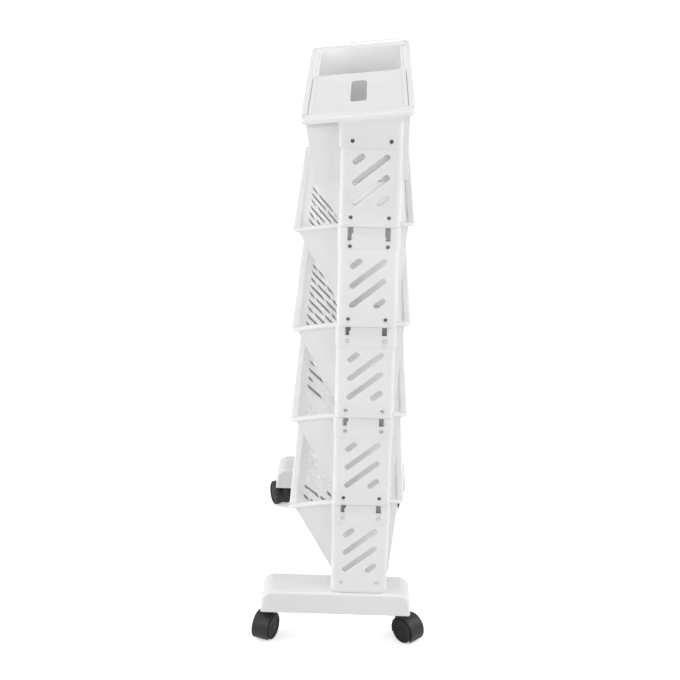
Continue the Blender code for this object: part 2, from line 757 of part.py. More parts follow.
def foot():
    """Near foot: long block with rounded shoulders, a tenon for the post and two stem bores."""
    half = FOOT_LENGTH / 2
    outer = POST_FACE + FOOT_FRONT
    inner = outer - FOOT_DEPTH
    quarter = math.pi / 2

    def outline(inset):
        corner = FOOT_CORNER - inset
        top = FOOT_TOP - inset
        wide = half - inset
        corners = [
            (-wide, CASTOR_HEIGHT, 0),
            (wide, CASTOR_HEIGHT, 0),
            (wide - FOOT_TAPER, top, corner),
            (-wide + FOOT_TAPER, top, corner),
        ]
        return [(x - FOOT_SHIFT, z) for x, z in rounded(corners, 4)]

    stations = []
    for i in range(4):
        angle = quarter * i / 3
        inset = FOOT_EDGE * (1 - math.sin(angle))
        stations.append((inset, outer - FOOT_EDGE * (1 - math.cos(angle))))
    stations += [(inset, outer + inner - d) for inset, d in reversed(stations)]
    block = loft([[(x, -d, z) for x, z in outline(inset)] for inset, d in stations])
    low = (-TENON_HALF, -POST_INNER + CLEARANCE, FOOT_TOP - OVERLAP)
    high = (TENON_HALF, -WALL_OUT, FOOT_TOP + TENON_HEIGHT)
    block = combined(block, box(low, high), "UNION")
    bores = []
    for x in stem_spots():
        bore = tube(STEM_RADIUS + RUNNING_FIT, CASTOR_HEIGHT - OVERLAP, CASTOR_HEIGHT + STEM_GRIP)
        bores.append(moved(bore, Matrix.Translation((x, -STEM_OUT, 0))))
    return combined(block, gathered(bores), "DIFFERENCE")


AXLE_HEIGHT = WHEEL_RADIUS * math.cos(math.pi / WHEEL_SIDES)
BODY_TOP = CASTOR_HEIGHT - CLEARANCE
AXLE_END = FIN_THICKNESS / 2 + WHEEL_GAP + WHEEL_WIDTH - WHEEL_WEB - CLEARANCE


def castor_stem():
    """Steel pin set into the foot; its axis is the z axis."""
    return tube(STEM_RADIUS, STEM_BOTTOM + CLEARANCE, CASTOR_HEIGHT + STEM_GRIP - CLEARANCE)


def castor_body():
    """Hood, fin and boss of a castor, trailing toward +X from its stem axis."""
    x, z = CASTOR_TRAIL, AXLE_HEIGHT
    inner = WHEEL_RADIUS + HOOD_GAP
    outer = inner + HOOD_PLATE
    hood = arc(x, z, outer, HOOD_FROM, HOOD_APRON, 14)
    hood += arc(x, z, inner, HOOD_APRON, HOOD_FROM, 14)
    fin = arc(x, z, inner + HOOD_PLATE / 2, HOOD_FROM, HOOD_TO, 8)
    fin += [
        (-BOSS_RADIUS * 0.8, BODY_TOP - BOSS_HEIGHT / 2),
        (-BOSS_RADIUS * 0.8, STEM_BOTTOM - BOSS_RADIUS / 4),
        (x - WHEEL_RADIUS / 2, z - WHEEL_RADIUS / 3),
        (x, z - WHEEL_RADIUS / 2),
    ]
    half = FIN_THICKNESS / 2
    body = along_y(hood, -HOOD_WIDTH / 2, HOOD_WIDTH / 2)
    body = combined(body, along_y(fin, -half, half), "UNION")
    body = combined(body, tube(BOSS_RADIUS, BODY_TOP - BOSS_HEIGHT, BODY_TOP), "UNION")
    stem_bore = tube(STEM_RADIUS + RUNNING_FIT, STEM_BOTTOM, CASTOR_HEIGHT + OVERLAP)
    turn = 2 * math.pi / 12
    ring = arc(x, z, AXLE_RADIUS + RUNNING_FIT, turn / 2, math.tau - turn / 2, 11)
    axle_bore = along_y(ring, -half - OVERLAP, half + OVERLAP)
    return combined(body, gathered([stem_bore, axle_bore]), "DIFFERENCE")


def castor_axle():
    """Axle pin along y, centred on its own axis."""
    return turned([(0, -AXLE_END), (AXLE_RADIUS, -AXLE_END), (AXLE_RADIUS, AXLE_END), (0, AXLE_END)], 12)


def castor_wheel():
    """Wheel about the y axis, inner face at y = 0, with a closed and ringed outer face."""
    bore = AXLE_RADIUS + RUNNING_FIT
    tread = WHEEL_RADIUS * 0.05
    ring = WHEEL_RADIUS * 0.78
    dish = WHEEL_WEB / 2
    profile = [
        (0, WHEEL_WIDTH - dish),
        (ring, WHEEL_WIDTH - dish),
        (ring, WHEEL_WIDTH),
        (WHEEL_RADIUS - tread, WHEEL_WIDTH),
        (WHEEL_RADIUS, WHEEL_WIDTH - tread),
        (WHEEL_RADIUS, 0),
        (bore, 0),
        (bore, WHEEL_WIDTH - WHEEL_WEB),
        (0, WHEEL_WIDTH - WHEEL_WEB),
    ]
    return turned(profile, WHEEL_SIDES)


def add_castor(name, spot, turn, surfaces, parent):
    """Stem, swivelling body, axle and two wheels of one castor."""
    plastic, tyre, steel = surfaces
    place(name + "_stem", castor_stem(), steel, parent, (*spot, 0))
    body = place(name + "_body", castor_body(), plastic, parent, (*spot, 0))
    body.rotation_euler = (0, 0, turn)
    centre = Vector((CASTOR_TRAIL, 0, AXLE_HEIGHT))
    place(name + "_axle", castor_axle(), steel, body, centre)
    inner = FIN_THICKNESS / 2 + WHEEL_GAP
    for side, label in ((-1, "left"), (1, "right")):
        mesh = castor_wheel()
        if side < 0:
            mesh = moved(mesh, Matrix.Scale(-1, 4, (0, 1, 0)))
        mesh = moved(mesh, Matrix.Translation((0, side * inner, 0)))
        place(name + "_wheel_" + label, mesh, tyre, body, centre)


def add_pair(name, mesh, surface, parent):
    """The same piece at the near end and, mirrored, at the far end."""
    place("far_" + name, mirrored(mesh), surface, parent)
    place("near_" + name, mesh, surface, parent)


def centre_over_base(root):
    """Move the root so that the rack stands over the middle of its own bounds."""
    bpy.context.view_layer.update()
    corners = []
    for piece in bpy.context.scene.collection.all_objects:
        if piece.type == "MESH":
            corners += [piece.matrix_world @ vertex.co for vertex in piece.data.vertices]
    for axis in (0, 1):
        values = [corner[axis] for corner in corners]
        root.location[axis] = -(min(values) + max(values)) / 2


def build():
    for item in list(bpy.data.objects):
        bpy.data.objects.remove(item)
    white = material("white_plastic", (0.80, 0.80, 0.79), 0.45, 0.0)
    black = material("black_plastic", (0.045, 0.045, 0.048), 0.50, 0.0)
    tyre = material("dark_tread", (0.030, 0.030, 0.032), 0.60, 0.0)
    steel = material("plated_steel", (0.45, 0.45, 0.45), 0.35, 1.0)
    root = bpy.data.objects.new("rolling_rack", None)
    bpy.context.scene.collection.objects.link(root)
    for index in range(1, BIN_COUNT + 1):
        label = str(BIN_COUNT + 1 - index)
        seam = seam_height(index)
        add_pair("end_frame_" + label, bin_frame(index), white, root)
        add_pair("bracket_" + label, bracket(seam), steel, root)
        place("front_grille_" + label, front_grille(seam), white, root)
        place("back_panel_" + label, back_panel(seam), white, root)
        place("bin_floor_" + label, bin_floor(seam), white, root)
    place("near_top_frame", top_frame(False), white, root)
    place("far_top_frame", mirrored(top_frame(True)), white, root)
    place("top_front_panel", top_front_panel(), white, root)
    place("top_back_panel", top_back_panel(), white, root)
    place("top_floor", top_floor_plate(), white, root)
    place("lid", lid(), white, root)
    add_pair("foot", foot(), white, root)
    front, back = stem_spots()
    surfaces = (black, tyre, steel)
    add_castor("castor_near_front", (front, -STEM_OUT), NEAR_FRONT_TURN, surfaces, root)
    add_castor("castor_near_back", (back, -STEM_OUT), NEAR_BACK_TURN, surfaces, root)
    add_castor("castor_far_front", (front, STEM_OUT), FAR_FRONT_TURN, surfaces, root)
    add_castor("castor_far_back", (back, STEM_OUT), FAR_BACK_TURN, surfaces, root)
    centre_over_base(root)


build()
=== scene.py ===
"""Looks of the rolling shelf unit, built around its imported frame.

Metres, in the frame of the model: +X is the back, -Y is the near end. Pieces are drawn with x = 0 at
the middle of the columns and y = 0 at the middle of the rack, then moved to where the frame has them.
"""

import json
import math

import bmesh
import bpy
from mathutils import Matrix, Vector


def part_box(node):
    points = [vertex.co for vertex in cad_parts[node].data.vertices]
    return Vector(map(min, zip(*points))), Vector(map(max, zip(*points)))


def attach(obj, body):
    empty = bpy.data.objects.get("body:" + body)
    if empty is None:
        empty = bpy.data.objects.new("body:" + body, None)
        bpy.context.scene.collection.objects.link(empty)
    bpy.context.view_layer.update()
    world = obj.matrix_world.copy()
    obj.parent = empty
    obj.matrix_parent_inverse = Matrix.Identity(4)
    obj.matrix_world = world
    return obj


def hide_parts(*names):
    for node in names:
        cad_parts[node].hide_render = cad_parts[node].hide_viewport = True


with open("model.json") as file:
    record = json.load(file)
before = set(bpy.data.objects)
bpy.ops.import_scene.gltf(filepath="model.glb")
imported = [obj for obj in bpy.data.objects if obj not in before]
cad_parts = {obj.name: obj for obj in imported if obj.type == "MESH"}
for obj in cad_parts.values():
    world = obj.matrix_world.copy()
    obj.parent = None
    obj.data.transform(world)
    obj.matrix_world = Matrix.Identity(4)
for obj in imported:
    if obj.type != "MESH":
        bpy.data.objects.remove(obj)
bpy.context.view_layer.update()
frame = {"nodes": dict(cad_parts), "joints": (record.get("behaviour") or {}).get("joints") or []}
scene = bpy.context.scene
QUARTER = math.pi / 2

# Sizes shared with the solids of the frame
CLEARANCE = 0.0003
OVERLAP = 0.0015
RACK_LENGTH = 0.530
BIN_COUNT = 4
CASTOR_HEIGHT = 0.057
SECTION_HEIGHT = 0.160
SECTION_EXTRA = 0.008
POST_WIDTH = 0.096
POST_DEPTH = 0.018
POST_PLATE = 0.003
POST_CORNER = 0.008
WALL = 0.003
COLLAR_HEIGHT = 0.036
COLLAR_OVER = 0.0015
SLOT_WIDTH = 0.0095
SLOT_ANGLE = math.radians(40.0)
SLOT_FIELD_HALF = 0.0245
SLOT_FIELD_BOTTOM = 0.0365
SLOT_FIELD_TOP = 0.1115
SLOT_SPACING = 0.033
SCREW_COLUMN = 0.030
LOW_SCREW = 0.0132
WINDOW_WIDTH = 0.0095
WINDOW_BASE = 0.1455
WINDOW_TO_SCREW = 0.0095
TOP_PATTERN_RISE = 0.0025
BRACKET_DOWN = 0.037
BIN_FRONT = 0.112
BIN_BACK = 0.062
BIN_DEPTH = 0.135
FLOOR_SHIFT = 0.002
FLOOR_PLATE = 0.0025
RIM_HEIGHT = 0.0055
RIM_ROUND = 0.0025
RIM_CORNER = 0.007
FRONT_OVERHANG = 0.009
BACK_OVERHANG = 0.0095
END_OVERHANG = 0.008
LIP_DROP = 0.011
KINK_X = 0.065
KINK_RISE = -0.002
BACK_RISE = 0.0055
LEDGE_PLATE = 0.0027
LEDGE_SETBACK = 0.002
GRILLE_SLOT = 0.009
GRILLE_ANGLE = math.radians(46.0)
GRILLE_LINES = 11
GRILLE_START = 0.048
GRILLE_END = 0.0217
GRILLE_DOWN = 0.018
GRILLE_RUN = 0.130
GRILLE_GAP = 0.009
GRILLE_SHORT = 0.022
TOP_FRONT = 0.104
TOP_BACK = 0.058
TOP_RIM_RISE = 0.171
TOP_SLOPE = 0.1136
TOP_RIM_HEIGHT = 0.009
TOP_RIM_PLATE = 0.003
TOP_FRONT_OVERHANG = 0.008
TOP_BACK_OVERHANG = 0.0075
TOP_END_OVERHANG = 0.007
TOP_CORNER = 0.009
TOP_WALL = 0.0025
TOP_DEPTH = 0.107
TOP_FLOOR_FRONT = 0.090
TOP_FLOOR_SLOPE = 0.064
TOP_GUSSET_RISE = 0.004
GRIP_FRONT = 0.053
GRIP_BACK = 0.048
GRIP_HEIGHT = 0.005
GRIP_WIDTH = 0.009
GRIP_INSET = 0.001
LID_LENGTH = 0.268
LID_PLATE = 0.0042
LID_SEAT = 0.0075
LID_PLAY = 0.001
LID_BORDER = 0.006
LID_PANEL_DROP = 0.001
LID_SLOT_WIDTH = 0.026
LID_SLOT_LENGTH = 0.150
LID_SLOT_CORNER = 0.008
FOOT_HEIGHT = 0.040
FOOT_LENGTH = 0.258
FOOT_DEPTH = 0.067
FOOT_SHIFT = 0.039
FOOT_FRONT = 0.005
FOOT_TAPER = 0.0035
FOOT_CORNER = 0.019
FOOT_EDGE = 0.004
STEM_RADIUS = 0.0038
STEM_BOTTOM = 0.027
WHEEL_RADIUS = 0.0220
WHEEL_WIDTH = 0.0105
WHEEL_SIDES = 20
WHEEL_GAP = 0.0005
WHEEL_WEB = 0.002
CASTOR_TRAIL = 0.019
FIN_THICKNESS = 0.0106
HOOD_GAP = 0.0012
HOOD_PLATE = 0.0024
HOOD_WIDTH = 0.0300
HOOD_FROM = math.radians(-38.0)
HOOD_TO = math.radians(122.0)
HOOD_APRON = math.radians(205.0)
BOSS_RADIUS = 0.009
BOSS_HEIGHT = 0.013

# Finer finish that only the looks have
EDGE = 0.0006
SEAM_EDGE = 0.0003
SHARP_ANGLE = math.radians(34.0)
SCREW_OPENING = 0.0066
SCREW_HEAD = 0.0058
CAP_PLAY = 0.0002
COLLAR_STEP = 0.0003
WINDOW_STEP = 0.0025
WINDOW_CORNER = 0.001
BEND_STEP = 0.002
TOP_COLLAR_LEAN = 0.0035
FLARE = 0.0066
FLARE_RISE = 0.018
BEAD_WIDTH = 0.0055
CREASE = 0.0018
UPPER_BACKING = 0.0034
GRILLE_WALL = 0.005
LID_BACK_OFF = 0.0016
LID_CORNER = 0.003
LID_PANEL_CORNER = 0.002
LID_SLOT_OFFSET = 0.008
FACING = 0.9  # least cosine for a face that looks along a direction

POST_FACE = RACK_LENGTH / 2
POST_HALF = POST_WIDTH / 2
WALL_OUT = POST_FACE - POST_DEPTH
WALL_IN = WALL_OUT - WALL
POST_INNER = POST_FACE - POST_PLATE
POST_HALF_IN = POST_HALF - WALL
POST_BACK = WALL_IN + CLEARANCE
RIM_BACK = WALL_IN + CLEARANCE / 2
PANEL_END = WALL_IN - CLEARANCE
FOOT_TOP = CASTOR_HEIGHT + FOOT_HEIGHT
INNER_CORNER = POST_CORNER - POST_PLATE
LEDGE_START = WALL_IN + LEDGE_SETBACK
HIGH_SCREW = WINDOW_BASE - WINDOW_TO_SCREW
SCREW_SEAT = POST_INNER - EDGE * 2
GRILLE_SPAN = RACK_LENGTH - GRILLE_START - GRILLE_END - GRILLE_RUN * math.cos(GRILLE_ANGLE)
GRILLE_PITCH = GRILLE_SPAN / (GRILLE_LINES - 1)
AXLE_HEIGHT = WHEEL_RADIUS * math.cos(math.pi / WHEEL_SIDES)
BODY_TOP = CASTOR_HEIGHT - CLEARANCE

near_low, near_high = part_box("near_bracket_1")
far_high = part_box("far_bracket_1")[1]
SHIFT = Vector(((near_low.x + near_high.x) / 2, (near_low.y + far_high.y) / 2, 0))


def seam_height(index):
    extra = SECTION_EXTRA * ((index >= 1) + (index >= BIN_COUNT))
    return FOOT_TOP + SECTION_HEIGHT * index + extra


TOP_SEAM = seam_height(BIN_COUNT)
TOP_RIM_FRONT = TOP_SEAM + TOP_RIM_RISE


# Materials

GRAIN_HEIGHT = 0.0002


def grey(level):
    return (level, level, level)


def new_material(name):
    made = bpy.data.materials.new(name)
    made.use_nodes = True
    tree = made.node_tree
    return made, tree, tree.nodes["Principled BSDF"]


def noise(tree, scale, detail, stretch=(1, 1, 1)):
    """Noise in object space, so that grain keeps its real size."""
    coords = tree.nodes.new("ShaderNodeTexCoord")
    mapping = tree.nodes.new("ShaderNodeMapping")
    mapping.inputs["Scale"].default_value = stretch
    texture = tree.nodes.new("ShaderNodeTexNoise")
    texture.inputs["Scale"].default_value = scale
    texture.inputs["Detail"].default_value = detail
    tree.links.new(coords.outputs["Object"], mapping.inputs["Vector"])
    tree.links.new(mapping.outputs["Vector"], texture.inputs["Vector"])
    return texture.outputs["Fac"]


def ramp(tree, value, low, high):
    """Two colours mixed by a noise value."""
    node = tree.nodes.new("ShaderNodeValToRGB")
    node.color_ramp.elements[0].position = 0.3
    node.color_ramp.elements[0].color = (*low, 1)
    node.color_ramp.elements[1].position = 0.7
    node.color_ramp.elements[1].color = (*high, 1)
    tree.links.new(value, node.inputs["Fac"])
    return node.outputs["Color"]


def spread(tree, value, low, high):
    """Noise value stretched to a range."""
    node = tree.nodes.new("ShaderNodeMapRange")
    node.inputs["From Min"].default_value = 0.3
    node.inputs["From Max"].default_value = 0.7
    node.inputs["To Min"].default_value = low
    node.inputs["To Max"].default_value = high
    tree.links.new(value, node.inputs["Value"])
    return node.outputs["Result"]


def moulded(name, low, high, rough, grain, bump, edge, metallic=0.0, stretch=(1, 1, 1), depth=0.0,
            gloss=0.5):
    """Moulded or plated surface: cloudy colour, uneven gloss, fine grain and softened edges.

    A depth lets light pass a little way through, as thin pale plastic does.
    """
    made, tree, shader = new_material(name)
    tree.links.new(ramp(tree, noise(tree, 9, 3), low, high), shader.inputs["Base Color"])
    tree.links.new(spread(tree, noise(tree, 60, 4, stretch), *rough), shader.inputs["Roughness"])
    shader.inputs["Metallic"].default_value = metallic
    shader.inputs["Specular IOR Level"].default_value = gloss
    if depth:
        shader.inputs["Subsurface Weight"].default_value = min(0.5 + depth * 25, 1)
        shader.inputs["Subsurface Radius"].default_value = (1, 1, 1)
        shader.inputs["Subsurface Scale"].default_value = depth
    soft = tree.nodes.new("ShaderNodeBevel")
    soft.samples = 6
    soft.inputs["Radius"].default_value = edge
    grains = tree.nodes.new("ShaderNodeBump")
    grains.inputs["Strength"].default_value = bump
    grains.inputs["Distance"].default_value = GRAIN_HEIGHT
    tree.links.new(noise(tree, grain, 2, stretch), grains.inputs["Height"])
    tree.links.new(soft.outputs["Normal"], grains.inputs["Normal"])
    tree.links.new(grains.outputs["Normal"], shader.inputs["Normal"])
    return made


def white_plastic(name, low, high, depth=0.006):
    """Satin white plastic between two grey levels."""
    return moulded(name, grey(low), grey(high), (0.42, 0.52), 1500, 0.10, 0.0016, depth=depth, gloss=0.3)


white = white_plastic("white_shell", 0.79, 0.82)
# Painted shade: a darker copy of the shell white for the lid, the top box walls and the feet, whose tops the
# lamps light more.
shaded_white_copy = white_plastic("white_painted_shade", 0.76, 0.79)
# Painted light: a lighter copy of the shell white for faces inside the posts, bins and top box, standing in
# for light there.
painted_light_white = white_plastic("white_inside_painted_light", 0.93, 0.96)
# Painted light: the lighter copy again for the inner faces of the bin walls, with real translucency as well.
thin_wall_painted_light = white_plastic("white_thin_wall_painted_light", 0.93, 0.96, 0.035)
# Painted shade: a darker copy of the white for the floor of the top box, standing in for the shade under the
# lid.
floor_painted_shade = white_plastic("white_floor_painted_shade", 0.66, 0.70)
# Painted shade: grey sides for the slots of the bin fronts, standing in for the shadow in them.
slot_painted_shade = moulded("white_slot_painted_shade", grey(0.36), grey(0.42), (0.55, 0.65), 1500, 0.10, 0.0004)
black = moulded("black_nylon", (0.012, 0.012, 0.013), (0.018, 0.018, 0.019), (0.38, 0.50), 2200, 0.25,
                0.0006, gloss=0.3)
tread = moulded("dark_wheel", grey(0.003), grey(0.006), (0.45, 0.60), 1800, 0.20, 0.0005, gloss=0.2)
zinc = moulded("zinc_plate", grey(0.09), grey(0.24), (0.30, 0.45), 700, 0.15, 0.0003, 1.0, (8, 8, 1))
screw_steel = moulded("screw_steel", grey(0.10), grey(0.16), (0.30, 0.45), 900, 0.10, 0.0002, 1.0)


# Mesh tools

def shaped(bm):
    bmesh.ops.recalc_face_normals(bm, faces=bm.faces)
    mesh = bpy.data.meshes.new("shape")
    bm.to_mesh(mesh)
    bm.free()
    return mesh


def loft(loops):
    """Closed solid through loops of equal point counts, capped at both ends."""
    bm = bmesh.new()
    rings = [[bm.verts.new(point) for point in loop] for loop in loops]
    count = len(rings[0])
    for low, high in zip(rings, rings[1:]):
        for i in range(count):
            j = (i + 1) % count
            bm.faces.new((low[i], low[j], high[j], high[i]))
    bm.faces.new(rings[0])
    bm.faces.new(rings[-1])
    return shaped(bm)


def along_y(points, start, end):
    return loft([[(x, y, z) for x, z in points] for y in (start, end)])


def near(points, inner, outer):
    return along_y(points, -outer, -inner)


def tube(radius, bottom, top, sides=32):
    ring = [math.tau * i / sides for i in range(sides)]
    return loft([[(radius * math.cos(a), radius * math.sin(a), z) for a in ring] for z in (bottom, top)])


def turned(profile, sides):
    """Solid turned about the y axis from (radius, y) points that start and end on the axis."""
    bm = bmesh.new()
    rings = []
    for radius, y in profile:
        if radius == 0:
            rings.append([bm.verts.new((0, y, 0))])
            continue
        angles = [math.tau * (i + 0.5) / sides - QUARTER for i in range(sides)]
        rings.append([bm.verts.new((radius * math.cos(a), y, radius * math.sin(a))) for a in angles])
    for low, high in zip(rings, rings[1:]):
        for i in range(sides):
            j = (i + 1) % sides
            corners = [low[i % len(low)], low[j % len(low)], high[j % len(high)], high[i % len(high)]]
            bm.faces.new(list(dict.fromkeys(corners)))
    return shaped(bm)


def arc(x, z, radius, start, end, steps):
    angles = [start + (end - start) * i / steps for i in range(steps + 1)]
    return [(x + radius * math.cos(a), z + radius * math.sin(a)) for a in angles]


def rounded(corners, steps=5):
    """Outline in which each (x, z, radius) corner with a radius becomes a short arc."""
    points = []
    for i, (x, z, radius) in enumerate(corners):
        here = Vector((x, z))
        if radius == 0:
            points.append((x, z))
            continue
        before = (Vector(corners[i - 1][:2]) - here).normalized()
        after = (Vector(corners[(i + 1) % len(corners)][:2]) - here).normalized()
        half = before.angle(after) / 2
        reach = radius / math.tan(half)
        centre = here + (before + after).normalized() * (radius / math.sin(half))
        first = here + before * reach - centre
        last = here + after * reach - centre
        start = math.atan2(first.y, first.x)
        points += arc(centre.x, centre.y, radius, start, start - first.angle_signed(last), steps)
    return points


def capsule(centre, length, width, angle, steps=9):
    x, z = centre
    dx, dz = math.cos(angle) * length / 2, math.sin(angle) * length / 2
    first = arc(x + dx, z + dz, width / 2, angle - QUARTER, angle + QUARTER, steps)
    return first + arc(x - dx, z - dz, width / 2, angle + QUARTER, angle + 3 * QUARTER, steps)


def moved(mesh, matrix):
    mesh.transform(matrix)
    if matrix.determinant() < 0:
        mesh.flip_normals()
    return mesh


def gathered(meshes):
    bm = bmesh.new()
    for mesh in meshes:
        bm.from_mesh(mesh)
    return shaped(bm)


def combined(mesh, other, operation):
    """New mesh: mesh with other joined on (UNION) or cut away (DIFFERENCE)."""
    pair = []
    for data in (mesh, other):
        helper = bpy.data.objects.new("helper", data)
        scene.collection.objects.link(helper)
        pair.append(helper)
    step = pair[0].modifiers.new("step", "BOOLEAN")
    step.operation = operation
    step.solver = "EXACT"
    step.object = pair[1]
    bpy.context.view_layer.update()
    graph = bpy.context.evaluated_depsgraph_get()
    result = bpy.data.meshes.new_from_object(pair[0].evaluated_get(graph))
    for helper in pair:
        bpy.data.objects.remove(helper)
    bm = bmesh.new()
    bm.from_mesh(result)
    bmesh.ops.dissolve_limit(bm, angle_limit=math.radians(0.05), verts=bm.verts, edges=bm.edges)
    return shaped(bm)


def joined(mesh, additions):
    for addition in additions:
        mesh = combined(mesh, addition, "UNION")
    return mesh


def mirrored(mesh):
    return moved(mesh.copy(), Matrix.Scale(-1, 4, (0, 1, 0)))


def piece(name, mesh, surfaces, slot, body, *nodes, place=None):
    """Add one named piece, smooth-shaded with crisp corners, riding on a body of the frame.

    The surfaces go to the faces by their index.
    """
    mesh.transform(place if place is not None else Matrix.Translation(SHIFT))
    mesh.name = name
    for material in surfaces:
        mesh.materials.append(material)
    mesh.shade_smooth()
    mesh.set_sharp_from_angle(angle=SHARP_ANGLE)
    made = bpy.data.objects.new(name, mesh)
    scene.collection.objects.link(made)
    normals = made.modifiers.new("normals", "WEIGHTED_NORMAL")
    normals.keep_sharp = True
    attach(made, body)
    if nodes:
        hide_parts(*nodes)


# Columns

def rim_top(x):
    """Height of a bin rim above its seam: level behind, falling to the lip in front."""
    lip = -(BIN_FRONT + FRONT_OVERHANG)
    back = BIN_BACK + BACK_OVERHANG
    if x < -KINK_X:
        return -LIP_DROP + (KINK_RISE + LIP_DROP) * (x - lip) / (-KINK_X - lip)
    return KINK_RISE + (BACK_RISE - KINK_RISE) * (x + KINK_X) / (back + KINK_X)


def soft_rim(x):
    """The same height with the bend eased over a short stretch."""
    return sum(rim_top(x + step * BEND_STEP) for step in range(-5, 6)) / 11


def top_rim(x):
    return TOP_RIM_FRONT + TOP_SLOPE * (x + TOP_FRONT + TOP_FRONT_OVERHANG)


def top_floor(x):
    return TOP_RIM_FRONT - TOP_DEPTH + TOP_FLOOR_SLOPE * (x + TOP_FLOOR_FRONT)


def post_loop(half, face, inner_half, height, lean=0.0):
    """Cross-section of the open-backed post; height is a function of x, lean widens the front side."""
    right = arc(half - POST_CORNER, face - POST_CORNER, POST_CORNER, 0, QUARTER, 8)
    inner = arc(inner_half - INNER_CORNER, POST_INNER - INNER_CORNER, INNER_CORNER, QUARTER, 0, 4)
    outline = [(half, POST_BACK), *right]
    outline += [(-x - lean, d) for x, d in reversed(outline)]
    inside = [(-x, d) for x, d in reversed(inner)]
    outline += [(-inner_half, POST_BACK), *inside, *inner, (inner_half, POST_BACK)]
    return [(x, -d, height(x)) for x, d in outline]


def post(bottom, collar, top, round_foot):
    """Post of one section: eased ends, and a collar that is wider but set back."""
    loops = []

    def ring(z, grow=0.0, back=0.0, drop=0.0, lean=0.0):
        height = z if callable(z) else (lambda x: z)
        loops.append(post_loop(POST_HALF + grow - drop, POST_FACE - back, POST_HALF_IN - drop, height, lean))

    if round_foot:
        for i in range(7):
            angle = QUARTER * i / 7
            ring(bottom + POST_CORNER * (1 - math.cos(angle)), drop=POST_CORNER * (1 - math.sin(angle)))
        ring(bottom + POST_CORNER)
    else:
        ring(bottom, -SEAM_EDGE, SEAM_EDGE)
        ring(bottom + SEAM_EDGE)
    ring(collar - EDGE * 1.5)
    ring(collar - EDGE * 0.5, 0, EDGE * 0.3)
    ring(collar, 0, EDGE)
    if callable(top):
        ring(collar + EDGE * 0.4, 0, COLLAR_STEP, lean=TOP_COLLAR_LEAN - EDGE)
        ring(collar + EDGE * 1.5, 0, COLLAR_STEP, lean=TOP_COLLAR_LEAN)
        for i in range(11):
            share = min(i / 6, 1)
            flare = FLARE * share * share * (3 - 2 * share)
            drop = FLARE_RISE * (1 - i / 10)
            ring(lambda x: top(x) - drop, flare / 2, COLLAR_STEP - flare, lean=TOP_COLLAR_LEAN)
    else:
        ring(collar + EDGE * 0.4, COLLAR_OVER - EDGE, COLLAR_STEP)
        ring(collar + EDGE * 1.5, COLLAR_OVER, COLLAR_STEP)
        ring(top - SEAM_EDGE, COLLAR_OVER, COLLAR_STEP)
        ring(top, COLLAR_OVER - SEAM_EDGE, COLLAR_STEP + SEAM_EDGE)
    return loft(loops)


def section_cutter(pattern, window_top):
    """Slots, screw holes and clip windows of a section, as one cutter."""
    inner, outer = POST_INNER - OVERLAP, POST_FACE + OVERLAP
    middle = (SLOT_FIELD_BOTTOM + SLOT_FIELD_TOP) / 2
    rise = math.tan(SLOT_ANGLE)
    cuts = []
    for i in range(4):
        offset = middle + SLOT_SPACING * (1.5 - i)
        ends = []
        for edge in (-SLOT_FIELD_HALF, SLOT_FIELD_HALF):
            z = min(max(offset + edge * rise, SLOT_FIELD_BOTTOM), SLOT_FIELD_TOP)
            ends.append(Vector(((z - offset) / rise, z + pattern)))
        length = (ends[1] - ends[0]).length
        outline = capsule((ends[0] + ends[1]) / 2, length, SLOT_WIDTH, SLOT_ANGLE)
        cuts.append(near(outline, inner, outer))
    for side in (-1, 1):
        x = side * SCREW_COLUMN
        for z in (LOW_SCREW, HIGH_SCREW):
            outline = arc(x, pattern + z, SCREW_OPENING / 2, 0, math.tau * 19 / 20, 19)
            cuts.append(near(outline, inner, outer))
        if window_top is not None:
            left, right = x - WINDOW_WIDTH / 2, x + WINDOW_WIDTH / 2
            low, high = pattern + WINDOW_BASE, window_top + OVERLAP
            step = WINDOW_STEP if side < 0 else 0
            notch = (low + window_top) / 2
            corners = [(left, low, WINDOW_CORNER), (right - step, low, WINDOW_CORNER)]
            corners += [(right - step, notch, 0), (right, notch + step / 2, 0)]
            corners += [(right, high, 0), (left, high, 0)]
            cuts.append(near(rounded(corners), inner, outer))
    return gathered(cuts)


def rim_loop(x, outer, top):
    """Cross-section of an end rim at x: flat inside, rolled outside."""
    base = top - RIM_HEIGHT
    upper = arc(outer - RIM_ROUND, top - RIM_ROUND, RIM_ROUND, QUARTER, 0, 5)
    lower = arc(outer - RIM_ROUND, base + RIM_ROUND, RIM_ROUND, 0, -QUARTER, 4)
    return [(x, -d, z) for d, z in [(RIM_BACK, base), (RIM_BACK, top), *upper, *lower]]


def end_rim(seam, start, end):
    """Rolled rim on the wing of an end frame, from the post to a rounded corner."""
    outer = WALL_OUT + END_OVERHANG
    side = math.copysign(1, end - start)
    stations = [(start, outer)]
    if side < 0:
        stations += [(-KINK_X + 2 * BEND_STEP * step, outer) for step in (3, 2, 1, 0, -1, -2, -3)]
    for i in range(8):
        angle = QUARTER * i / 7
        x = end - side * RIM_CORNER * (1 - math.sin(angle))
        stations.append((x, outer - RIM_CORNER * (1 - math.cos(angle))))
    return loft([rim_loop(x, d, seam + soft_rim(x)) for x, d in stations])


def front_line(depth):
    start = RIM_HEIGHT - rim_top(-BIN_FRONT)
    share = (depth - start) / (BIN_DEPTH - start)
    return -BIN_FRONT + (BIN_FRONT - POST_HALF + FLOOR_SHIFT) * share


def back_line(depth):
    return BIN_BACK - (BIN_BACK - POST_HALF - FLOOR_SHIFT) * depth / BIN_DEPTH


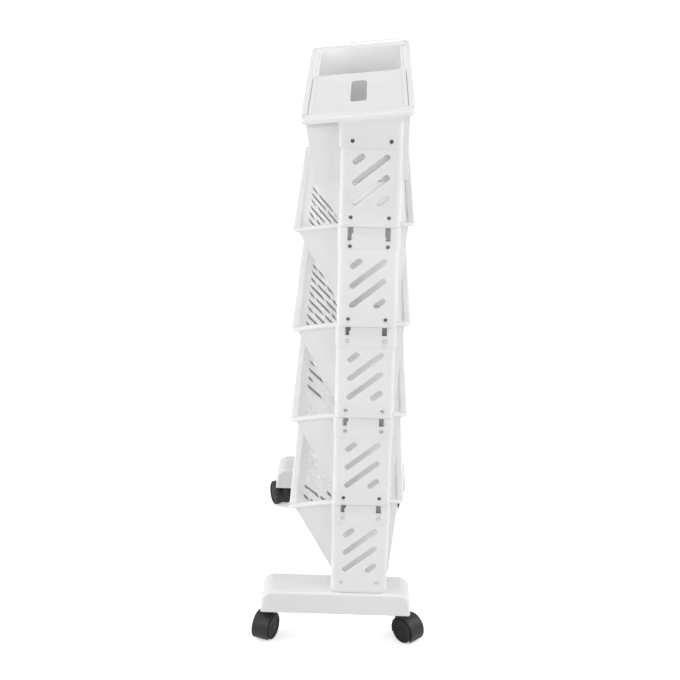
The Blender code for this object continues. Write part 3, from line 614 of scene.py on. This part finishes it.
def bin_frame(index):
    """Near end frame of bin section index, counted from the bottom."""
    bottom, seam = seam_height(index - 1), seam_height(index)
    pattern = bottom + (SECTION_EXTRA if index == 1 else 0)
    base = bottom + (CLEARANCE if index == 1 else 0)
    frame_mesh = post(base, seam - COLLAR_HEIGHT, seam - CLEARANCE, index == 1)
    inside, beside = POST_HALF - OVERLAP, POST_HALF + CLEARANCE
    under = RIM_HEIGHT / 2
    start = RIM_HEIGHT - rim_top(-BIN_FRONT)
    front_wing = [
        (-inside, seam - BIN_DEPTH + OVERLAP),
        (-inside, seam - under),
        (-beside, seam - under),
        (-beside, seam + rim_top(-beside) - under),
        (-KINK_X, seam + rim_top(-KINK_X) - under),
        (-BIN_FRONT, seam + rim_top(-BIN_FRONT) - under),
        (front_line(start - OVERLAP), seam - start + OVERLAP),
    ]
    back_wing = [
        (inside, seam - BIN_DEPTH),
        (back_line(BIN_DEPTH), seam - BIN_DEPTH),
        (BIN_BACK, seam),
        (BIN_BACK, seam + rim_top(BIN_BACK) - under),
        (beside, seam + rim_top(beside) - under),
        (beside, seam - under),
        (inside, seam - under),
    ]
    ledge_top = seam - BIN_DEPTH - CLEARANCE
    ledge = [(-inside, ledge_top - LEDGE_PLATE), (inside, ledge_top - LEDGE_PLATE)]
    ledge += [(inside, ledge_top), (-inside, ledge_top)]
    additions = [
        near(front_wing, WALL_IN, WALL_OUT),
        near(back_wing, WALL_IN, WALL_OUT),
        near(ledge, LEDGE_START, POST_INNER + OVERLAP),
        end_rim(seam, -beside, -BIN_FRONT - FRONT_OVERHANG),
        end_rim(seam, beside, BIN_BACK + BACK_OVERHANG),
    ]
    return combined(joined(frame_mesh, additions), section_cutter(pattern, seam), "DIFFERENCE")


def top_end_rim():
    """Wide end rim of the top box: sloping plate, bead with a groove inside, skirt on three sides."""
    left, right = -TOP_FRONT - TOP_FRONT_OVERHANG, TOP_BACK + TOP_BACK_OVERHANG
    outer = POST_FACE + TOP_END_OVERHANG

    def plan(grow, inner):
        corner, far = TOP_CORNER + grow, outer + grow
        points = [(right + grow, inner)]
        points += arc(right + grow - corner, far - corner, corner, 0, QUARTER, 8)
        points += arc(left - grow + corner, far - corner, corner, QUARTER, 2 * QUARTER, 8)
        return points + [(left - grow, inner)]

    def level(grow, inner, z):
        return [(x, -d, top_rim(x) + z) for x, d in plan(grow, inner)]

    loops = [level(-EDGE, RIM_BACK, -TOP_RIM_HEIGHT), level(0, RIM_BACK, -TOP_RIM_HEIGHT + EDGE)]
    for i in range(6):
        angle = QUARTER * i / 5
        loops.append(level(-RIM_ROUND * (1 - math.cos(angle)), RIM_BACK, -RIM_ROUND * (1 - math.sin(angle))))
    rim = loft(loops)
    past = WALL_IN - OVERLAP
    groove = loft([level(-BEAD_WIDTH, past, z) for z in (-CREASE / 2, OVERLAP)])
    core = loft([level(-BEAD_WIDTH - CREASE, past - OVERLAP, z) for z in (-CREASE, 2 * OVERLAP)])
    rim = combined(rim, combined(groove, core, "DIFFERENCE"), "DIFFERENCE")
    low, high = -TOP_RIM_HEIGHT - OVERLAP, -TOP_RIM_PLATE
    hollow = loft([level(-TOP_WALL, past, z) for z in (low, high)])
    return combined(rim, hollow, "DIFFERENCE")


def top_frame(grip):
    """Near top frame: last post section, plates behind its slots, end of the top box and its rim."""
    pattern = TOP_SEAM + TOP_PATTERN_RISE
    collar = pattern + SECTION_HEIGHT - COLLAR_HEIGHT
    half_plate = TOP_RIM_PLATE / 2
    frame_mesh = post(TOP_SEAM, collar, lambda x: top_rim(x) - half_plate, False)
    inside = POST_HALF - OVERLAP
    over_tab = FLOOR_PLATE + CLEARANCE
    end_wall = [
        (-inside, TOP_SEAM + TOP_GUSSET_RISE),
        (-inside, top_floor(-inside) + over_tab),
        (inside, top_floor(inside) + over_tab),
        (inside, top_floor(inside)),
        (TOP_BACK, top_floor(TOP_BACK)),
        (TOP_BACK, top_rim(TOP_BACK) - half_plate),
        (-TOP_FRONT, top_rim(-TOP_FRONT) - half_plate),
        (-TOP_FRONT, top_rim(-TOP_FRONT) - TOP_RIM_HEIGHT),
        (-TOP_FLOOR_FRONT, top_floor(-TOP_FLOOR_FRONT)),
    ]
    low, high = CLEARANCE + LEDGE_PLATE, CLEARANCE
    ledge = [(-inside, top_floor(-inside) - low), (inside, top_floor(inside) - low)]
    ledge += [(inside, top_floor(inside) - high), (-inside, top_floor(-inside) - high)]
    low, high = pattern + LOW_SCREW + SCREW_HEAD, pattern + HIGH_SCREW - SCREW_HEAD
    step = [(-inside, top_floor(-inside) + FLOOR_PLATE), (inside, top_floor(inside) + FLOOR_PLATE)]
    lower_back = [(-inside, low), (inside, low), *reversed(step)]
    upper_back = [*step, (inside, high), (-inside, high)]
    additions = [
        near(end_wall, WALL_IN, WALL_OUT),
        near(ledge, LEDGE_START, POST_INNER + OVERLAP),
        near(lower_back, POST_INNER - UPPER_BACKING - OVERLAP, POST_INNER - OVERLAP),
        near(upper_back, POST_INNER - UPPER_BACKING - OVERLAP, POST_INNER - UPPER_BACKING),
        top_end_rim(),
    ]
    if grip:
        outer = POST_FACE + TOP_END_OVERHANG - GRIP_INSET
        outline = [
            (-GRIP_FRONT, top_rim(-GRIP_FRONT) - OVERLAP, 0),
            (GRIP_BACK, top_rim(GRIP_BACK) - OVERLAP, 0),
            (GRIP_BACK, top_rim(GRIP_BACK) + GRIP_HEIGHT, GRIP_INSET),
            (-GRIP_FRONT + GRIP_HEIGHT, top_rim(-GRIP_FRONT) + GRIP_HEIGHT, GRIP_INSET),
        ]
        additions.append(near(rounded(outline), outer - GRIP_WIDTH, outer))
    return combined(joined(frame_mesh, additions), section_cutter(pattern, None), "DIFFERENCE")


# Bins and top box

# Grille faces by index: shell white outside, painted shade on the slot sides, and the lighter copy inside as
# painted light.
GRILLE_SURFACES = (white, slot_painted_shade, thin_wall_painted_light)
OUTSIDE, SLOT_SIDE, INSIDE = range(3)


def front_grille(seam, dark):
    """Slanted front wall of a bin with its lip and its rows of slots.

    dark lists the (line, run) slots whose sides get the painted shade that stands in for the shadow in them;
    all do if it is empty.
    """
    start = RIM_HEIGHT - rim_top(-BIN_FRONT)
    top = Vector((-BIN_FRONT, -start))
    foot = Vector((front_line(BIN_DEPTH), -BIN_DEPTH))
    down = (foot - top).normalized()
    normal = Vector((-down.y, down.x))
    lip = -BIN_FRONT - FRONT_OVERHANG
    inner_top = top + normal * GRILLE_WALL
    inner_foot = foot + normal * GRILLE_WALL
    corners = [
        (lip, rim_top(lip) - RIM_HEIGHT, RIM_ROUND),
        (top.x, top.y, RIM_ROUND),
        (foot.x, foot.y, 0),
        (inner_foot.x, inner_foot.y, 0),
        (inner_top.x, inner_top.y, 0),
        (inner_top.x, rim_top(inner_top.x), RIM_ROUND),
        (lip, rim_top(lip), RIM_ROUND),
    ]
    wall = along_y([(x, seam + z) for x, z in rounded(corners)], -PANEL_END, PANEL_END)
    # Faces that look into the bin take the lighter copy, painted light.
    for face in wall.polygons:
        inward = face.normal.x * normal.x + face.normal.z * normal.y > FACING
        face.material_index = INSIDE if inward else OUTSIDE
    axes = Matrix(((0, down.x, normal.x), (1, 0, 0), (0, down.y, normal.y))).to_4x4()
    axes.translation = (inner_top.x, 0, seam + inner_top.y)
    middle = GRILLE_RUN - 2 * GRILLE_SHORT - 2 * GRILLE_GAP
    even_line = (middle, GRILLE_RUN - GRILLE_GAP - middle)
    odd_line = (GRILLE_SHORT, middle, GRILLE_SHORT)
    cuts = []
    for line in range(GRILLE_LINES):
        reach = 0
        for number, run in enumerate(odd_line if line % 2 else even_line):
            along = reach + run / 2
            u = -POST_FACE + GRILLE_START + GRILLE_PITCH * line + along * math.cos(GRILLE_ANGLE)
            v = GRILLE_DOWN + along * math.sin(GRILLE_ANGLE)
            outline = capsule((u, v), run - GRILLE_SLOT, GRILLE_SLOT, GRILLE_ANGLE, 7)
            sides = (-GRILLE_WALL - OVERLAP, OVERLAP)
            cut = moved(loft([[(a, b, w) for a, b in outline] for w in sides]), axes)
            for face in cut.polygons:
                # Listed slot sides take the painted shade; the others take the inside surface.
                face.material_index = SLOT_SIDE if not dark or (line, number) in dark else INSIDE
            cuts.append(cut)
            reach += run + GRILLE_GAP
    cutter = gathered(cuts)
    for mesh in (wall, cutter):
        for material in GRILLE_SURFACES:
            mesh.materials.append(material)
    return combined(wall, cutter, "DIFFERENCE")


def back_panel(seam):
    edge = BIN_BACK + BACK_OVERHANG
    corners = [
        (edge, rim_top(edge) - RIM_HEIGHT, RIM_ROUND),
        (edge, rim_top(edge), RIM_ROUND),
        (BIN_BACK - WALL, rim_top(BIN_BACK - WALL), RIM_ROUND),
        (BIN_BACK - WALL, 0, 0),
        (back_line(BIN_DEPTH) - WALL, -BIN_DEPTH, 0),
        (back_line(BIN_DEPTH), -BIN_DEPTH, 0),
        (BIN_BACK, 0, RIM_ROUND),
    ]
    wall = along_y([(x, seam + z) for x, z in rounded(corners)], -PANEL_END, PANEL_END)
    # The inner face takes the lighter copy, painted light.
    for face in wall.polygons:
        face.material_index = int(face.normal.x < -FACING)
    return wall


def top_panel(edge, inner, foot_outer, foot_inner, wall_top):
    """Long wall of the top box with rim, skirt and the ledge that carries the lid."""
    side = math.copysign(1, inner - edge)
    seat = -LID_PLATE - CLEARANCE
    low_outer = top_floor(foot_outer) - top_rim(foot_outer)
    low_inner = top_floor(min(foot_inner, foot_outer)) - top_rim(foot_inner)
    corners = [
        (edge, -TOP_RIM_HEIGHT, EDGE),
        (edge, 0, RIM_ROUND),
        (inner, 0, EDGE),
        (inner, seat, 0),
        (inner + side * LID_SEAT, seat, EDGE),
        (inner + side * LID_SEAT, seat - TOP_WALL, EDGE),
        (inner, seat - TOP_WALL, EDGE),
        (foot_inner, low_inner, 0),
        (foot_outer, low_outer, 0),
        (wall_top, -TOP_RIM_PLATE, EDGE),
        (edge + side * TOP_WALL, -TOP_RIM_PLATE, EDGE),
        (edge + side * TOP_WALL, -TOP_RIM_HEIGHT, EDGE),
    ]
    wall = along_y([(x, z + top_rim(x)) for x, z in rounded(corners, 3)], -PANEL_END, PANEL_END)
    # Faces inside the top box below its rim take the lighter copy, painted light.
    for face in wall.polygons:
        inside = side * (face.center.x - inner) > -EDGE / 2
        face.material_index = int(inside and face.center.z < top_rim(face.center.x) - EDGE)
    return wall


def lid():
    """Lid with eased edges, a raised border and a long finger slot."""
    left = -TOP_FRONT + TOP_WALL + LID_PLAY
    right = TOP_BACK - TOP_WALL - LID_PLAY
    start = -PANEL_END + LID_PLAY
    end = start + LID_LENGTH
    edge = start + LID_BACK_OFF

    def level(inset, corner, z):
        corners = [
            (left + inset, edge + inset, corner),
            (right - inset, edge + inset, corner),
            (right - inset, end - inset, corner),
            (left + inset, end - inset, corner),
        ]
        return [(x, y, top_rim(x) + z) for x, y in rounded(corners, 4)]

    loops = [level(0, LID_CORNER, -LID_PLATE)]
    for i in range(4):
        angle = QUARTER * i / 3
        loops.append(level(EDGE * (1 - math.cos(angle)), LID_CORNER, -EDGE * (1 - math.sin(angle))))
    border = [(EDGE, -LID_PANEL_DROP), (0, -EDGE * 0.4), (-EDGE, EDGE * 0.2), (-EDGE, OVERLAP)]
    panel = [level(LID_BORDER + grow, LID_PANEL_CORNER, z) for grow, z in border]
    plate = combined(loft(loops), loft(panel), "DIFFERENCE")
    centre = ((left + right) / 2, (start + end) / 2 + LID_SLOT_OFFSET)

    def slot_level(grow, z):
        wide, long = LID_SLOT_WIDTH / 2 + grow, LID_SLOT_LENGTH / 2 + grow
        signs = ((-1, -1), (1, -1), (1, 1), (-1, 1))
        corners = [(centre[0] + a * wide, centre[1] + b * long, LID_SLOT_CORNER + grow) for a, b in signs]
        return [(x, y, top_rim(x) + z) for x, y in rounded(corners, 8)]

    top = -LID_PANEL_DROP
    slot = [slot_level(0, -LID_PLATE - OVERLAP), slot_level(0, top - EDGE)]
    slot += [slot_level(EDGE * 0.3, top - EDGE * 0.3), slot_level(EDGE, top), slot_level(EDGE, OVERLAP)]
    return combined(plate, loft(slot), "DIFFERENCE")


# Feet and castors

def foot():
    """Near foot: long block with rounded shoulders and eased long edges."""
    half = FOOT_LENGTH / 2
    outer = POST_FACE + FOOT_FRONT
    inner = outer - FOOT_DEPTH

    def outline(inset):
        top, wide, corner = FOOT_TOP - inset, half - inset, FOOT_CORNER - inset
        corners = [
            (-wide, CASTOR_HEIGHT, 0),
            (wide, CASTOR_HEIGHT, 0),
            (wide - FOOT_TAPER, top, corner),
            (-wide + FOOT_TAPER, top, corner),
        ]
        return [(x - FOOT_SHIFT, z) for x, z in rounded(corners, 12)]

    stations = []
    for i in range(8):
        angle = QUARTER * i / 7
        inset = FOOT_EDGE * (1 - math.sin(angle))
        stations.append((inset, outer - FOOT_EDGE * (1 - math.cos(angle))))
    stations += [(inset, outer + inner - d) for inset, d in reversed(stations)]
    return loft([[(x, -d, z) for x, z in outline(inset)] for inset, d in stations])


def castor_body():
    """Hood with rolled edges, fin and boss, trailing toward +X from the stem axis."""
    x, z = CASTOR_TRAIL, AXLE_HEIGHT
    inner = WHEEL_RADIUS + HOOD_GAP
    outer = inner + HOOD_PLATE
    ease = HOOD_PLATE * 0.6
    half = HOOD_WIDTH / 2
    stations = []
    for i in range(6):
        angle = QUARTER * i / 5
        stations.append((-half + ease * (1 - math.cos(angle)), ease * (1 - math.sin(angle))))
    stations += [(-y, drop) for y, drop in reversed(stations)]
    loops = []
    for y, drop in stations:
        band = arc(x, z, outer - drop, HOOD_FROM, HOOD_APRON, 56)
        band += arc(x, z, inner, HOOD_APRON, HOOD_FROM, 56)
        loops.append([(a, y, b) for a, b in band])
    fin = arc(x, z, inner + HOOD_PLATE / 2, HOOD_FROM, HOOD_TO, 24)
    fin += [
        (-BOSS_RADIUS * 0.8, BODY_TOP - BOSS_HEIGHT / 2),
        (-BOSS_RADIUS * 0.8, STEM_BOTTOM - BOSS_RADIUS / 4),
        (x - WHEEL_RADIUS / 2, z - WHEEL_RADIUS / 3),
        (x, z - WHEEL_RADIUS / 2),
    ]
    body = combined(loft(loops), along_y(fin, -FIN_THICKNESS / 2, FIN_THICKNESS / 2), "UNION")
    body = combined(body, tube(BOSS_RADIUS, BODY_TOP - BOSS_HEIGHT, BODY_TOP), "UNION")
    bore = tube(STEM_RADIUS + CLEARANCE, STEM_BOTTOM, CASTOR_HEIGHT + OVERLAP)
    return combined(body, bore, "DIFFERENCE")


def castor_wheel():
    """Wheel about the y axis, inner face at y = 0: rounded tread, ring groove and raised cap."""
    face = WHEEL_WIDTH
    tyre = WHEEL_RADIUS * 0.05
    ring, cap = WHEEL_RADIUS * 0.78, WHEEL_RADIUS * 0.30
    dish = WHEEL_WEB / 2
    profile = [(0, face - dish * 0.3), (cap - EDGE, face - dish * 0.3), (cap, face - dish * 0.5)]
    profile += [(cap, face - dish), (ring - EDGE, face - dish), (ring, face - dish * 0.7)]
    profile += [(ring, face - EDGE), (ring + EDGE, face), (WHEEL_RADIUS - tyre, face)]
    profile += arc(WHEEL_RADIUS - tyre, face - tyre, tyre, QUARTER, 0, 4)[1:]
    profile += arc(WHEEL_RADIUS - tyre, tyre, tyre, 0, -QUARTER, 4)
    profile += [(0, 0)]
    return turned(profile, 60)


def screw():
    """Pan-head screw with a cross recess; its head looks toward -Y, its seat is y = 0."""
    radius = SCREW_HEAD / 2
    depth = radius * 0.55
    dome = [(radius * math.sin(a), -depth * math.cos(a)) for a in [QUARTER * i / 6 for i in range(7)]]
    dome[0] = (0, -depth)
    head = turned([*dome, (radius, depth * 0.3), (0, depth * 0.3)], 20)
    arm = radius * 0.18
    reach = radius * 0.62
    bars = []
    for wide, tall in ((reach, arm), (arm, reach)):
        outline = [(-wide, -tall), (wide, -tall), (wide, tall), (-wide, tall)]
        bars.append(along_y(outline, -depth - OVERLAP, -depth * 0.45))
    for bar in bars:
        head = combined(head, bar, "DIFFERENCE")
    return head


def cap(slotted):
    """White cap in a screw hole, with eased edge; its face looks toward -Y, its back is y = 0."""
    radius, depth = SCREW_OPENING / 2 - CAP_PLAY, POST_PLATE - 2 * EDGE
    profile = [(0, -depth), (radius - CAP_PLAY, -depth), (radius, CAP_PLAY - depth), (radius, 0), (0, 0)]
    plug = turned(profile, 24)
    if not slotted:
        return plug
    wide, tall = radius * 0.8, radius * 0.25
    bar = [(-wide, -tall), (wide, -tall), (wide, tall), (-wide, tall)]
    return combined(plug, along_y(bar, -depth - OVERLAP, OVERLAP), "DIFFERENCE")


# Build the pieces

screw_mesh = screw()
plain_cap, slotted_cap = cap(False), cap(True)
CAPS = {"2": (slotted_cap, plain_cap), "3": (None, slotted_cap), "4": (plain_cap, plain_cap)}


def screws(end, label, pattern):
    """The four screws of one section as one piece, and the caps over some of them as another."""
    outward = Matrix.Scale(-1 if end == "far" else 1, 4, (0, 1, 0))
    heads, plugs = [], []
    for side in (-1, 1):
        for z, over in zip((LOW_SCREW, HIGH_SCREW), CAPS.get(label, (None, None))):
            spot = outward @ Matrix.Translation((side * SCREW_COLUMN, -SCREW_SEAT, pattern + z))
            heads.append(moved(screw_mesh.copy(), spot @ Matrix.Rotation(0.7 * side + 9 * z, 4, "Y")))
            if over:
                spot = outward @ Matrix.Translation((side * SCREW_COLUMN, -POST_INNER - EDGE, pattern + z))
                plugs.append(moved(over.copy(), spot))
    piece(f"{end}_screws_{label}", gathered(heads), (screw_steel,), "plated_steel", "rack")
    if plugs:
        piece(f"{end}_caps_{label}", gathered(plugs), (white,), "white_plastic", "rack")


def both_ends(name, near_mesh, far_mesh=None, surface=white, inner=painted_light_white):
    """Near piece and its mirrored twin; faces that look inward or into the post's hollow take the surface
    called inner, by default the lighter copy of the white that paints light into them.
    """
    far_mesh = mirrored(far_mesh or near_mesh)
    for end, mesh in (("near", near_mesh), ("far", far_mesh)):
        for face in mesh.polygons:
            depth = abs(face.center.y)
            within = abs(face.center.x) < POST_HALF_IN + EDGE and depth < POST_INNER + EDGE
            hollow = within and face.normal.z < 0.5
            inward = face.normal.y * face.center.y < -depth / 2
            face.material_index = int((hollow or inward) and face.center.z > FOOT_TOP + EDGE)
        piece(f"{end}_{name}_fine", mesh, (surface, inner), "white_plastic", "rack", f"{end}_{name}")


# Slots of the lower bin fronts whose sides get painted shade, by line and run
PAINTED_SHADE_SLOTS = {
    "3": ((4, 0), (5, 0), (6, 0), (7, 0)),
    "4": ((1, 0), (1, 1), (2, 0), (2, 1), (3, 2), (7, 0)),
}
for index in range(1, BIN_COUNT + 1):
    label = str(BIN_COUNT + 1 - index)
    seam = seam_height(index)
    both_ends("end_frame_" + label, bin_frame(index))
    pattern = seam_height(index - 1) + (SECTION_EXTRA if index == 1 else 0)
    for end in ("near", "far"):
        screws(end, label, pattern)
    grille = front_grille(seam, PAINTED_SHADE_SLOTS.get(label, ()))
    name = "front_grille_" + label
    piece(name + "_fine", grille, GRILLE_SURFACES, "white_plastic", "rack", name)
    name = "back_panel_" + label
    piece(name + "_fine", back_panel(seam), (white, thin_wall_painted_light), "white_plastic", "rack", name)
both_ends("top_frame", top_frame(False), top_frame(True))
for end in ("near", "far"):
    screws(end, "top", TOP_SEAM + TOP_PATTERN_RISE)
# Top box walls: the darker copy outside (painted shade), the lighter copy inside (painted light).
front_wall = top_panel(-TOP_FRONT - TOP_FRONT_OVERHANG, -TOP_FRONT + TOP_WALL, -TOP_FLOOR_FRONT,
                       -TOP_FLOOR_FRONT + TOP_WALL, -TOP_FRONT)
piece("top_front_panel_fine", front_wall, (shaded_white_copy, painted_light_white), "white_plastic", "rack", "top_front_panel")
back_wall = top_panel(TOP_BACK + TOP_BACK_OVERHANG, TOP_BACK - TOP_WALL, TOP_BACK,
                      TOP_BACK - TOP_WALL, TOP_BACK)
piece("top_back_panel_fine", back_wall, (shaded_white_copy, painted_light_white), "white_plastic", "rack", "top_back_panel")
# The lid and the feet take the darker copy, painted shade.
piece("lid_fine", lid(), (shaded_white_copy,), "white_plastic", "lid", "lid")
both_ends("foot", foot(), surface=shaded_white_copy, inner=shaded_white_copy)

hood_mesh = castor_body()
wheel_mesh = castor_wheel()
for joint in frame["joints"]:
    if not joint["name"].endswith("_swivel"):
        continue
    name = joint["child"]
    axle_low, axle_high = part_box(name + "_axle")
    stem = Vector(joint["pos_m"])
    trail = (axle_low + axle_high) / 2 - stem
    turn = Matrix.Rotation(math.atan2(trail.y, trail.x), 4, "Z")
    base = Matrix.Translation((stem.x, stem.y, 0)) @ turn
    piece(name + "_hood", hood_mesh.copy(), (black,), "black_plastic", name, name + "_body", place=base)
    for side, label in ((-1, "left"), (1, "right")):
        flip = Matrix.Scale(side, 4, (0, 1, 0))
        spot = Matrix.Translation((CASTOR_TRAIL, side * (FIN_THICKNESS / 2 + WHEEL_GAP), AXLE_HEIGHT))
        body = f"{name}_wheel_{label}"
        wheel = moved(wheel_mesh.copy(), flip)
        piece(body + "_fine", wheel, (tread,), "dark_tread", body, body, place=base @ spot)

# Frame parts left in view: steel in zinc, the top floor in a darker copy of the white (painted shade), and
# the rest in the lighter copy (painted light).
for name, node in frame["nodes"].items():
    steel = "bracket" in name or name.endswith(("_stem", "_axle"))
    node.data.materials.clear()
    node.data.materials.append(zinc if steel else floor_painted_shade if name == "top_floor" else painted_light_white)


# Studio: pale floor, soft light, white surround

def seen_directly(tree):
    """1 for rays of the camera, of reflections and through glass; 0 for light that falls on things."""
    rays = tree.nodes.new("ShaderNodeLightPath")
    value = rays.outputs["Is Camera Ray"]
    for kind in ("Is Glossy Ray", "Is Transmission Ray"):
        either = tree.nodes.new("ShaderNodeMath")
        either.operation = "MAXIMUM"
        tree.links.new(value, either.inputs[0])
        tree.links.new(rays.outputs[kind], either.inputs[1])
        value = either.outputs["Value"]
    return value


FLOOR_REACH = 30.0
FLOOR_GLOW = {"From Min": 0.8, "From Max": 3.0, "To Min": 0.42, "To Max": 0.95}
AMBIENT = 0.28
floor_mesh = bpy.data.meshes.new("floor")
signs = ((-1, -1), (1, -1), (1, 1), (-1, 1))
floor_mesh.from_pydata([(FLOOR_REACH * a, FLOOR_REACH * b, 0) for a, b in signs], [], [(0, 1, 2, 3)])
floor = bpy.data.objects.new("floor", floor_mesh)
scene.collection.objects.link(floor)
made, tree, shader = new_material("pale_floor")
tree.links.new(ramp(tree, noise(tree, 3, 2), grey(0.68), grey(0.72)), shader.inputs["Base Color"])
shader.inputs["Roughness"].default_value = 0.8
shader.inputs["Specular IOR Level"].default_value = 0.1
seen = seen_directly(tree)
paper = tree.nodes.new("ShaderNodeBsdfDiffuse")
paper.inputs["Color"].default_value = (*grey(0.95), 1)
glow = tree.nodes.new("ShaderNodeEmission")
coords = tree.nodes.new("ShaderNodeTexCoord")
away = tree.nodes.new("ShaderNodeVectorMath")
away.operation = "LENGTH"
tree.links.new(coords.outputs["Object"], away.inputs[0])
fade = tree.nodes.new("ShaderNodeMapRange")
for key, value in FLOOR_GLOW.items():
    fade.inputs[key].default_value = value
tree.links.new(away.outputs["Value"], fade.inputs["Value"])
tree.links.new(fade.outputs["Result"], glow.inputs["Strength"])
lit_paper = tree.nodes.new("ShaderNodeAddShader")
tree.links.new(paper.outputs["BSDF"], lit_paper.inputs[0])
tree.links.new(glow.outputs["Emission"], lit_paper.inputs[1])
mix = tree.nodes.new("ShaderNodeMixShader")
tree.links.new(seen, mix.inputs["Fac"])
tree.links.new(shader.outputs["BSDF"], mix.inputs[1])
tree.links.new(lit_paper.outputs["Shader"], mix.inputs[2])
tree.links.new(mix.outputs["Shader"], tree.nodes["Material Output"].inputs["Surface"])
floor_mesh.materials.append(made)

world = bpy.data.worlds.new("studio")
scene.world = world
world.use_nodes = True
tree = world.node_tree
ambient = tree.nodes["Background"]
ambient.inputs["Color"].default_value = (1, 1, 1, 1)
ambient.inputs["Strength"].default_value = AMBIENT
paper = tree.nodes.new("ShaderNodeBackground")
paper.inputs["Color"].default_value = (1, 1, 1, 1)
paper.inputs["Strength"].default_value = 1.0
mix = tree.nodes.new("ShaderNodeMixShader")
tree.links.new(seen_directly(tree), mix.inputs["Fac"])
tree.links.new(ambient.outputs["Background"], mix.inputs[1])
tree.links.new(paper.outputs["Background"], mix.inputs[2])
tree.links.new(mix.outputs["Shader"], tree.nodes["World Output"].inputs["Surface"])


def lamp(name, spot, aim, size, power):
    data = bpy.data.lights.new(name, "AREA")
    data.shape = "RECTANGLE"
    data.size, data.size_y = size
    data.energy = power
    light = bpy.data.objects.new(name, data)
    scene.collection.objects.link(light)
    light.location = spot
    light.rotation_euler = (Vector(aim) - Vector(spot)).to_track_quat("-Z", "Y").to_euler()


lamp("left_low", (-2.5, -0.4, 0.4), (0, 0, 0.5), (1.8, 0.7), 12)
lamp("left_middle", (-2.4, -1.6, 1.7), (0, 0, 0.6), (1.6, 1.2), 21)
lamp("right_middle", (2.4, -1.6, 1.7), (0, 0, 0.6), (1.6, 1.2), 28)
lamp("left_high", (-2.2, 0.2, 2.4), (0, 0, 0.6), (1.8, 1.8), 37)
lamp("right_high", (2.2, 0.2, 2.4), (0, 0, 0.6), (1.8, 1.8), 37)
lamp("front", (0, -3.2, 1.9), (0, 0, 0.7), (2.0, 1.2), 25)

# Camera fitted to the photograph
IMAGE_WIDTH = 680
SENSOR_WIDTH = 36.0
FOCAL_PIXELS = 1645.43
ROLL, PITCH, YAW = 0.0116, -0.3768, -0.0241
MODULE = 0.160
EYE_MODULES = Vector((-0.0836, -15.392, 3.948))
EYE_RISE = 0.808
EYE_BASE = Vector((0, -POST_FACE, FOOT_TOP + EYE_RISE))
camera = bpy.data.cameras.new("camera")
camera.sensor_fit = "HORIZONTAL"
camera.sensor_width = SENSOR_WIDTH
camera.lens = SENSOR_WIDTH * FOCAL_PIXELS / IMAGE_WIDTH
eye = bpy.data.objects.new("camera", camera)
scene.collection.objects.link(eye)
look = Matrix.Rotation(ROLL, 3, "Z") @ Matrix.Rotation(PITCH, 3, "X") @ Matrix.Rotation(YAW, 3, "Y")
pose = Matrix((look.col[0], look.col[2], -look.col[1])).transposed().to_4x4()
pose.translation = SHIFT + EYE_BASE + EYE_MODULES * MODULE
eye.matrix_world = pose
scene.camera = eye
scene.view_settings.view_transform = "Standard"
